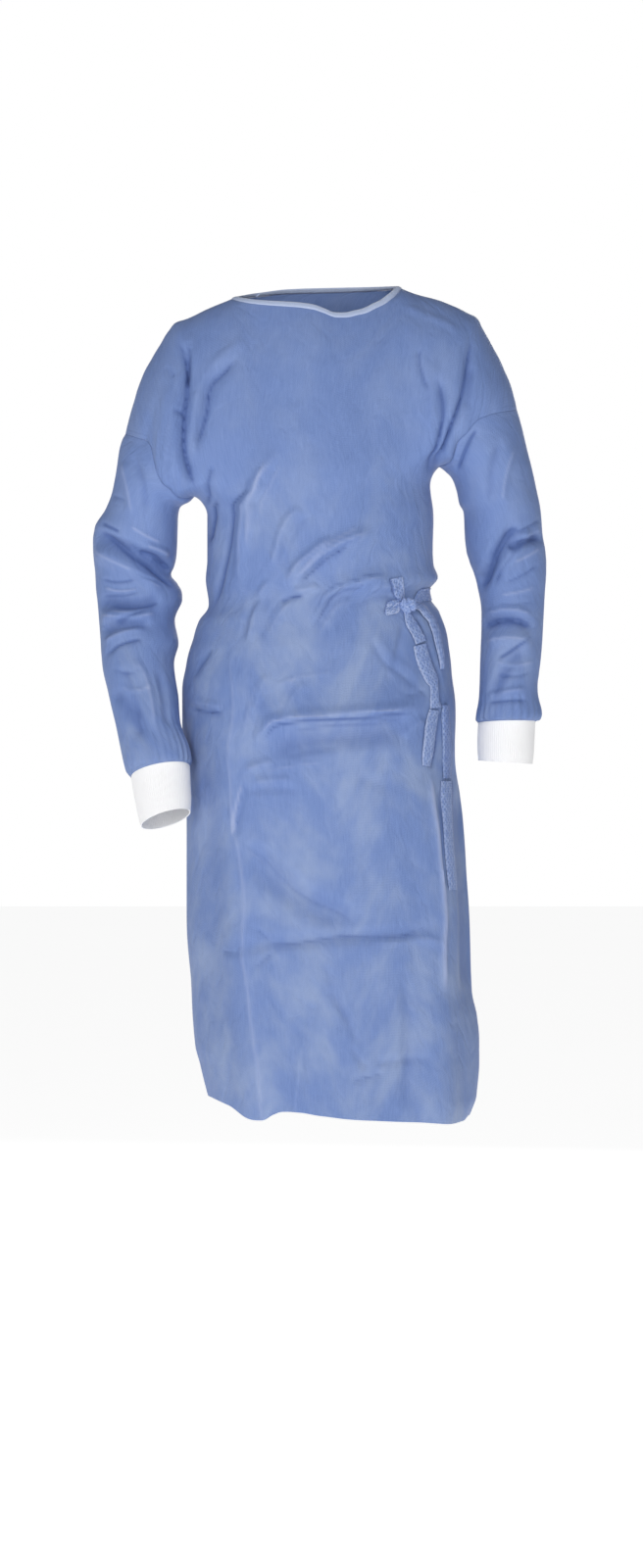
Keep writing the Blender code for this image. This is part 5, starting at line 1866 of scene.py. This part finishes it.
# Pressed lines and small rolls of the front, from the shoulders down to the hem
FRONT_CREASES = (
    press(
        -3.5, -4, 7, (-200, -36), (-182, -112), (-185, -145), (-186, -174), (-180, -223), (-164, -266),
    ),
    press(-2.5, -2.5, 6, (-180, -48), (-181, -80), (-183, -114)),
    press(-3, -4, 8, (-109, -66), (-130, -88), (-154, -124), (-156, -144), (-166, -186), (-168, -200)),
    roll(1.2, 2, 13, (-88, -36), (-128, -66), (-163, -113), (-174, -160), (-178, -198), (-171, -221)),
    press(-2.5, -3, 7, (-201, -144), (-193, -146), (-186, -150)),
    press(-1.8, -2, 6, (-214, -86), (-206, -92), (-199, -100)),
    press(-3, -4, 7, (209, -33), (202, -66), (193, -114), (178, -160), (166, -200), (145, -238)),
    roll(-3, -2.5, 9, (205, -78), (201, -110), (197, -145)),
    press(-2.5, -2.5, 7, (140, -57), (133, -72), (138, -98), (146, -120)),
    press(-3, -4, 8, (154, -96), (162, -121), (164, -145), (161, -169), (157, -193), (145, -233)),
    roll(1.4, 1.5, 11, (146, -70), (152, -100), (152, -132), (148, -170)),
    roll(1.2, 1.2, 9, (105, 0), (145, -17), (169, -27), (190, -43)),
    press(-4, -4, 9, (-142, -262), (-148, -298), (-154, -328)),
    press(-3, -3.5, 7, (-148, -215), (-154, -250), (-156, -277)),
    press(
        -3, -4, 8, (-100, -229), (-106, -253), (-120, -271), (-124, -306), (-137, -367), (-148, -419),
    ),
    roll(3, 3, 12, (-54, -187), (-69, -217), (-94, -253), (-106, -293), (-112, -395)),
    roll(2.5, 2, 8, (-90, -269), (-94, -292), (-96, -316)),
    roll(3, 2.5, 10, (-25, -275), (-49, -299), (-61, -336), (-68, -360)),
    roll(-2, -2, 9, (-14, -284), (-38, -310), (-50, -342), (-56, -366)),
    press(1.6, 1.6, 5, (-70, -200), (-84, -236), (-98, -290), (-100, -345)),
    press(1.4, 1.4, 5, (-52, -208), (-62, -232), (-78, -262), (-84, -300)),
    press(1.6, 1.6, 5, (58, -300), (26, -316), (-6, -340), (-30, -368)),
    press(1.4, 1.4, 5, (30, -400), (8, -426), (-2, -452)),
    press(-1.4, -1.4, 5, (48, -402), (30, -424), (22, -446)),
    press(1.3, 1.3, 5, (-36, -400), (-58, -424), (-74, -456)),
    press(-1.3, -1.3, 5, (-46, -392), (-70, -424), (-84, -462)),
    press(1.3, 1.3, 5, (-66, -520), (-30, -508), (20, -500)),
    press(-1.4, -1.2, 5, (-96, -604), (-88, -566), (-72, -524)),
    press(1.2, 1.2, 5, (-104, -590), (-98, -552), (-84, -508)),
    press(1.2, 1.2, 5, (-60, -556), (-46, -528), (-34, -500)),
    press(1.3, 1.3, 5, (-80, -636), (-40, -628), (10, -622)),
    roll(4, 3.5, 9, (16, -315), (-15, -339), (-39, -364), (-48, -382)),
    roll(4, 3.5, 9, (70, -306), (40, -318), (16, -330), (-21, -360), (-45, -382)),
    press(-3, -3, 7, (44, -326), (16, -341), (-8, -360), (-34, -384)),
    fold(
        2.8, 2.5, 13, (98, -370), (77, -371), (44, -380), (13, -391), (0, -410), (-9, -428),
        (-17, -443),
    ),
    press(-2.5, -2.5, 8, (62, -387), (40, -388), (21, -395), (4, -416), (-12, -443)),
    roll(2, 2, 8, (40, -398), (21, -416), (4, -440)),
    roll(3, 3, 8, (-3, -383), (-20, -387), (-39, -392)),
    press(-3, -3, 8, (-21, -395), (-39, -398), (-57, -408)),
    roll(3, 3, 10, (-66, -370), (-88, -410), (-94, -440), (-100, -464)),
    roll(-2.5, -2.5, 8, (-78, -392), (-101, -430), (-108, -462)),
    roll(-2, -2, 8, (104, -398), (80, -396), (60, -402), (40, -414)),
    roll(2, 2, 7, (104, -384), (84, -384), (66, -390)),
    roll(-2.5, -2, 8, (112, -430), (106, -462), (96, -500)),
    press(
        1.2, 1.4, 6, (-118, -461), (-124, -489), (-120, -520), (-118, -551), (-124, -612), (-121, -642),
        (-117, -704), (-109, -746), (-102, -831), (-104, -872), (-98, -915), (-90, -984), (-81, -1055),
        (-78, -1130), fade=0.06,
    ),
    fold(-2.5, -3, 9, (-102, -646), (-109, -681), (-116, -728)),
    press(-2.2, -2.2, 7, (-147, -466), (-165, -489), (-176, -508)),
    press(-3, -3, 8, (-180, -547), (-165, -553), (-130, -556)),
    roll(2, 2, 8, (-180, -537), (-160, -543), (-132, -547)),
    press(-1.6, -1.6, 6, (65, -447), (80, -480), (108, -504), (136, -525)),
    roll(0.8, 0.8, 9, (74, -446), (90, -472), (116, -494), (140, -514)),
    press(-2, -2, 7, (112, -532), (128, -530), (144, -524)),
    fold(4, 4, 16, (-94, -602), (-78, -584), (-61, -568), (9, -560), (65, -556), (141, -547)),
    press(-1.8, -1.5, 9, (-50, -581), (20, -572), (80, -568), (130, -560)),
    roll(-1.9, -1.7, 26, (-78, -612), (-30, -596), (40, -588), (128, -581)),
    roll(-1.3, -1.2, 7, (-52, -618), (-14, -607), (30, -602)),
    roll(2, 2, 9, (-48, -560), (-43, -544), (-21, -511)),
    roll(2, 2, 9, (-92, -560), (-84, -530), (-72, -500)),
    roll(3, 2.5, 10, (138, -562), (124, -576), (110, -589)),
    roll(2.5, 2, 9, (-104, -633), (-84, -626), (-64, -620)),
    roll(2, 2, 8, (-94, -650), (-66, -647), (-39, -646)),
    roll(-2, -2, 8, (-100, -662), (-70, -659), (-30, -660)),
    roll(-1.2, -1, 14, (46, -636), (72, -650), (98, -658)),
    fold(-1.6, -1.6, 11, (-112, -727), (-84, -750), (-53, -783), (-15, -811), (28, -831), (50, -852)),
    roll(1.5, 1.2, 14, (-104, -716), (-70, -738), (-38, -770), (0, -796), (44, -816)),
    roll(-1.4, -1.2, 22, (-100, -757), (-66, -788), (-24, -822), (30, -846)),
    press(-1.8, -1.8, 7, (-137, -878), (-122, -881), (-106, -882)),
    press(
        -1.9, -1.9, 7, (-98, -868), (-53, -870), (-15, -866), (50, -859), (97, -859), (134, -850),
        (162, -834),
    ),
    roll(2, 2, 8, (69, -867), (104, -865), (140, -862), (160, -872)),
    press(-2.5, -2, 6, (-87, -847), (-80, -855), (-72, -864)),
    press(-2.5, -2, 6, (-65, -878), (-78, -892), (-91, -904)),
    press(
        3, 3, 8, (147, -629), (150, -688), (154, -721), (157, -761), (161, -814), (162, -834),
        (160, -878), (162, -943), fade=0.12,
    ),
    # Wide shallow troughs down both sides, whose tone paints shade over the sides that turn away
    roll(-3, -3, 36, (-152, -560), (-154, -700), (-150, -900), (-140, -1060)),
    roll(-4.5, -4.5, 17, (187, -640), (190, -740), (194, -830), (197, -960)),
    # Shadows cast by the tie strips, painted as narrow pressed troughs beside and between them
    press(-2.5, -2.5, 6, (128, -425), (135, -436), (141, -450)),
    press(-2.5, -2.5, 6, (146, -463), (152, -485), (160, -508), (161, -522), (163, -545), fade=0.1),
    press(-2.5, -2.5, 6, (163, -550), (157, -582), (153, -608), (148, -632), fade=0.1),
    press(-2, -2, 6, (159, -652), (161, -740), (165, -796), fade=0.1),
    roll(-1.6, -1.6, 8, (3, -887), (28, -956), (53, -1012)),
    roll(-1.8, -1.6, 7, (8, -928), (24, -954), (41, -979)),
    roll(-1.8, -1.6, 7, (41, -1007), (50, -1024), (61, -1040)),
    press(-2.2, -2, 8, (41, -1055), (69, -1049), (86, -1044)),
    roll(-1.8, -1.8, 9, (69, -1032), (108, -1027), (148, -1024)),
    roll(2, 2.5, 12, (-20, -980), (-30, -1040), (-36, -1120)),
    roll(-2, -2.5, 14, (110, -900), (118, -980), (116, -1100)),
)

BACK_FOLDS = (
    roll(-6, -5, 22, (-60, -150), (-84, -250), (-92, -340), (-84, -430)),
    roll(5, 6, 26, (-20, -180), (-32, -280), (-28, -370)),
    roll(-6, -8, 18, (-206, -40), (-190, -110), (-186, -180), (-170, -250)),
    roll(-6, -8, 18, (212, -40), (200, -100), (184, -160), (156, -224)),
    roll(7, 5, 22, (118, -398), (70, -412), (10, -440), (-40, -480)),
    roll(-6, -5, 20, (112, -420), (60, -438), (4, -470), (-30, -510)),
    roll(5, 12, 46, (-112, -520), (-118, -660), (-110, -860), (-96, -1180)),
    roll(3, 9, 40, (30, -600), (36, -800), (30, -1180)),
    roll(-5, -5, 26, (-90, -600), (-30, -586), (50, -592), (120, -580)),
    roll(-4, -4, 18, (-150, -866), (-40, -860), (60, -866), (150, -850)),
)

BACK_CREASES = (
    press(-3, -4, 8, (-206, -42), (-192, -100), (-187, -170), (-172, -246)),
    press(-3, -4, 8, (212, -42), (201, -98), (186, -156), (158, -222)),
    press(-3, -3, 9, (-120, -80), (-140, -120), (-150, -180)),
    press(-3, -3, 9, (128, -76), (142, -120), (146, -176)),
    roll(3, 3, 12, (-98, -60), (-126, -104), (-140, -170)),
    press(-3.5, -3, 8, (-66, -160), (-88, -250), (-94, -336), (-88, -410)),
    roll(3, 3, 11, (24, -190), (6, -260), (-2, -330)),
    press(-3, -3, 9, (-4, -210), (-16, -290), (-12, -350)),
    roll(3.5, 3, 10, (124, -388), (84, -372), (40, -352), (10, -320)),
    press(-3.5, -3, 9, (122, -404), (72, -420), (14, -450), (-28, -488)),
    roll(3, 3, 9, (120, -430), (80, -452), (40, -486)),
    press(-3, -3, 9, (118, -440), (88, -468), (60, -510)),
    press(3.5, 3, 12, (-112, -520), (-119, -640), (-112, -800), (-100, -960), (-94, -1130), fade=0.08),
    press(-3, -2.5, 9, (-80, -590), (-30, -580), (40, -586), (110, -574)),
    roll(3, 3, 12, (-84, -572), (-20, -562), (50, -566), (116, -556)),
    press(-3, -3, 8, (-140, -862), (-50, -857), (40, -862), (140, -848)),
    roll(-3, -2.5, 12, (-104, -700), (-60, -742), (0, -776), (40, -812)),
    roll(2.5, 3, 14, (34, -620), (38, -780), (32, -960), (30, -1120)),
    roll(-2.5, -2.5, 14, (-40, -900), (-36, -1000), (-44, -1110)),
    press(-2, -2, 9, (60, -1010), (90, -1040), (126, -1052)),
)

SLEEVE_RIGHT_FRONT = (
    roll(-8, -9, 16, (-312, -310), (-280, -326), (-240, -346), (-200, -369)),
    roll(7, 6, 16, (-312, -332), (-285, -346), (-250, -366), (-214, -392)),
    roll(-6, -5, 14, (-306, -404), (-262, -410), (-214, -400)),
    roll(5, 5, 14, (-302, -424), (-262, -432), (-222, -424)),
    roll(-5, -4, 14, (-300, -452), (-262, -440), (-230, -444)),
    roll(-4, -5, 16, (-290, -530), (-262, -560), (-240, -604)),
    press(
        -4, -4, 8, (-305, -306), (-280, -327), (-252, -348), (-230, -362), (-213, -376), (-197, -392),
    ),
    press(-5, -7, 11, (-250, -338), (-230, -342), (-215, -352), (-202, -364)),
    roll(4, 4, 9, (-240, -328), (-222, -334), (-206, -344)),
    press(-3, -3, 8, (-300, -297), (-286, -304), (-273, -311)),
    press(-3, -3, 8, (-290, -412), (-250, -414), (-216, -408)),
    press(-3, -3, 8, (-280, -440), (-256, -428), (-236, -419)),
    roll(3, 3, 8, (-296, -466), (-262, -452), (-236, -446)),
    press(-3, -3, 8, (-294, -486), (-270, -470), (-240, -464)),
    roll(-2.5, -3, 9, (-272, -500), (-256, -540), (-246, -580)),
    roll(2.5, 3, 9, (-256, -490), (-236, -530), (-226, -590)),
    roll(-3, -3, 9, (-222, -500), (-214, -540), (-208, -590)),
    press(-2, -2, 5, (-300, -372), (-276, -378), (-250, -374)),
    press(1.6, 1.6, 5, (-296, -384), (-270, -392), (-244, -388)),
    press(-2, -2, 5, (-298, -398), (-272, -398), (-246, -390)),
    press(1.5, 1.5, 5, (-288, -420), (-262, -424), (-236, -416)),
    press(-1.8, -1.8, 5, (-262, -358), (-240, -372), (-216, -384)),
    press(1.6, 1.6, 5, (-262, -300), (-236, -316), (-214, -326)),
    press(-1.6, -1.6, 5, (-298, -250), (-282, -262), (-262, -268)),
    press(-1.5, -1.5, 5, (-286, -502), (-262, -512), (-240, -508)),
    press(1.4, 1.4, 5, (-276, -528), (-252, -536), (-226, -530)),
    roll(3, 3, 10, (-272, -210), (-262, -250), (-256, -290)),
    roll(-3, -3, 10, (-256, -206), (-244, -244), (-236, -286)),
)
SLEEVE_LEFT_FRONT = (
    roll(-7, -9, 15, (269, -300), (242, -331), (228, -358), (208, -392)),
    roll(6, 5, 14, (286, -306), (262, -338), (240, -372)),
    roll(-6, -5, 12, (304, -316), (270, -325), (250, -334)),
    roll(-6, -5, 13, (214, -440), (250, -432), (292, -440)),
    roll(5, 4, 14, (222, -462), (255, -456), (290, -462)),
    roll(-4, -4, 14, (282, -470), (250, -500), (230, -545)),
    press(-4, -4, 8, (270, -300), (242, -331), (228, -358), (212, -388)),
    press(-3, -3, 8, (280, -314), (256, -346), (230, -386)),
    press(-3.5, -3.5, 8, (300, -316), (270, -325), (252, -334)),
    press(-3.5, -3.5, 8, (217, -439), (252, -430), (290, -439)),
    roll(3, 3, 8, (220, -424), (254, -416), (288, -424)),
    press(-3, -3, 8, (288, -450), (262, -470), (236, -486)),
    roll(2.5, 2.5, 7, (220, -535), (248, -530), (278, -524)),
    press(-2.5, -2.5, 8, (222, -545), (250, -542), (284, -540)),
    press(-2, -2, 5, (300, -290), (282, -302), (262, -312)),
    press(1.6, 1.6, 5, (298, -330), (276, -344), (258, -352)),
    press(-2, -2, 5, (296, -352), (270, -370), (246, -380)),
    press(1.6, 1.6, 5, (292, -384), (266, -392), (240, -396)),
    press(-1.6, -1.6, 5, (292, -404), (264, -408), (236, -408)),
    press(-1.6, -1.6, 5, (286, -500), (262, -508), (236, -506)),
    press(1.4, 1.4, 5, (290, -486), (262, -492), (234, -488)),
    press(-4, -4, 10, (214, -166), (196, -196), (182, -232)),
    roll(3, 3, 10, (262, -190), (250, -230), (244, -276)),
    roll(-3, -3, 10, (246, -184), (232, -226), (226, -272)),
)
SLEEVE_RIGHT_BACK = (
    roll(6, 6, 18, (-300, -360), (-262, -380), (-214, -396)),
    roll(-7, -6, 16, (-302, -392), (-260, -408), (-206, -420)),
    roll(-5, -5, 16, (-280, -250), (-240, -300), (-214, -350)),
    roll(5, 4, 16, (-296, -450), (-256, -470), (-214, -466)),
    press(-4, -4, 8, (-300, -392), (-260, -408), (-210, -420)),
    press(-4, -3, 8, (-296, -330), (-262, -346), (-226, -372)),
    press(-3, -3, 8, (-290, -470), (-256, -488), (-220, -486)),
    roll(-3, -3, 9, (-270, -510), (-252, -550), (-236, -590)),
    roll(3, 3, 9, (-250, -500), (-230, -540), (-214, -580)),
    roll(3, 3, 12, (-268, -200), (-252, -240), (-246, -280)),
)
SLEEVE_LEFT_BACK = (
    roll(6, 6, 18, (296, -350), (262, -372), (222, -380)),
    roll(-7, -6, 16, (298, -384), (262, -400), (226, -404)),
    roll(-5, -5, 16, (284, -220), (240, -270), (214, -330)),
    roll(5, 4, 16, (292, -440), (256, -462), (230, -454)),
    press(-4, -4, 8, (296, -384), (262, -400), (228, -404)),
    press(-4, -3, 8, (288, -318), (256, -340), (222, -356)),
    press(-3, -3, 8, (290, -462), (260, -482), (232, -476)),
    roll(-3, -3, 9, (276, -500), (258, -526), (240, -552)),
    roll(3, 3, 12, (258, -190), (246, -230), (240, -276)),
)

ON_FRONT = ("front_cloth",)
TIE_STRIPS = (
    TieStrip(
        "tie_end_short", ((114, -419, 7), (119, -430, 13), (125, -440, 16), (131, -450, 16), (135, -460, 16)),
        Cut(0.017, 0.045, rests_on=ON_FRONT), lift=2.4, crown=0.9,
    ),
    TieStrip(
        "tie_end_curved",
        (
            (119, -408, 7), (130, -411, 10), (142, -422, 11), (152, -438, 11), (158, -462, 9),
            (162, -484, 7), (163, -496, 5),
        ),
        Cut(0.017, 0.115, rests_on=ON_FRONT), lift=2.2, crown=2.4,
    ),
    TieStrip(
        "tie_end_front",
        (
            (134, -463, 19), (140, -485, 21), (149, -508, 19), (153, -522, 11), (154, -540, 14),
            (155, -549, 17),
        ),
        Cut(0.025, 0.092, rests_on=ON_FRONT), crown=1.6, roll=1.2,
    ),
    TieStrip(
        "tie_end_low_front", ((153, -552, 15), (148, -582, 20), (145, -608, 19), (142, -628, 13)),
        Cut(0.024, 0.079, rests_on=ON_FRONT), crown=1.4, roll=-1.5,
    ),
    TieStrip(
        "tie_end_low_side", ((168, -545, 9), (169, -580, 11), (170, -612, 12), (170, -644, 11)),
        Cut(0.027, 0.10, rests_on=ON_FRONT), crown=2.6, roll=1.6, shade=2.2,
    ),
    TieStrip(
        "tie_end_side", ((169, -648, 16), (170, -690, 17), (172, -740, 17), (175, -796, 16)),
        Cut(0.033, 0.150, rests_on=ON_FRONT), crown=1.0, roll=0.8, shade=1.0,
    ),
    TieStrip(
        "tie_loop", ((108, -403, 8), (104, -394, 14), (102, -384, 17), (100, -373, 18)),
        Cut(0.018, 0.032, held="folded", rests_on=ON_FRONT), lift=2.0, crown=0.8,
    ),
    TieStrip(
        "tie_patch", ((86, -422, 5), (91, -417, 14), (96, -412, 21), (101, -407, 14), (104, -404, 5)),
        Cut(0.021, 0.034, 0.0004, held="laid", rests_on=ON_FRONT), crown=0.3, finish=PATCH_CLOTH,
    ),
)


def main() -> None:
    """Dress the gown piece by piece and set up the studio."""
    logging.basicConfig(level=logging.INFO, format="%(message)s")
    Studio().set_up()
    body = GownBody()
    body.front()
    body.back_outer()
    body.back_inner()
    body.binding()
    body.neck_tab()
    right = Cut(0.40, 0.52, 0.155, held="draped", rests_on=("front_cloth", "back_cloth_outer"))
    left = Cut(0.40, 0.47, 0.14, held="draped", rests_on=("front_cloth", "back_cloth_inner"))
    SleeveTube(
        "sleeve_right_cloth", "sleeve_right", -1, right, SLEEVE_RIGHT, body.armhole_right,
        SLEEVE_RIGHT_FRONT, SLEEVE_RIGHT_BACK,
    ).make()
    SleeveTube(
        "sleeve_left_cloth", "sleeve_left", 1, left, SLEEVE_LEFT, body.armhole_left,
        SLEEVE_LEFT_FRONT, SLEEVE_LEFT_BACK,
    ).make()
    wrist = Cut(0.21, 0.075, held="stretched", rests_on=("sleeve_right_cloth",))
    KnitCuff("cuff_right_knit", "cuff_right", -1, wrist, CUFF_RIGHT).make()
    wrist = Cut(0.21, 0.063, held="stretched", rests_on=("sleeve_left_cloth",))
    KnitCuff("cuff_left_knit", "cuff_left", 1, wrist, CUFF_LEFT).make()
    TiedBelt().make(body)
    for strip in TIE_STRIPS:
        strip.make(body)


if __name__ == "__main__":
    main()
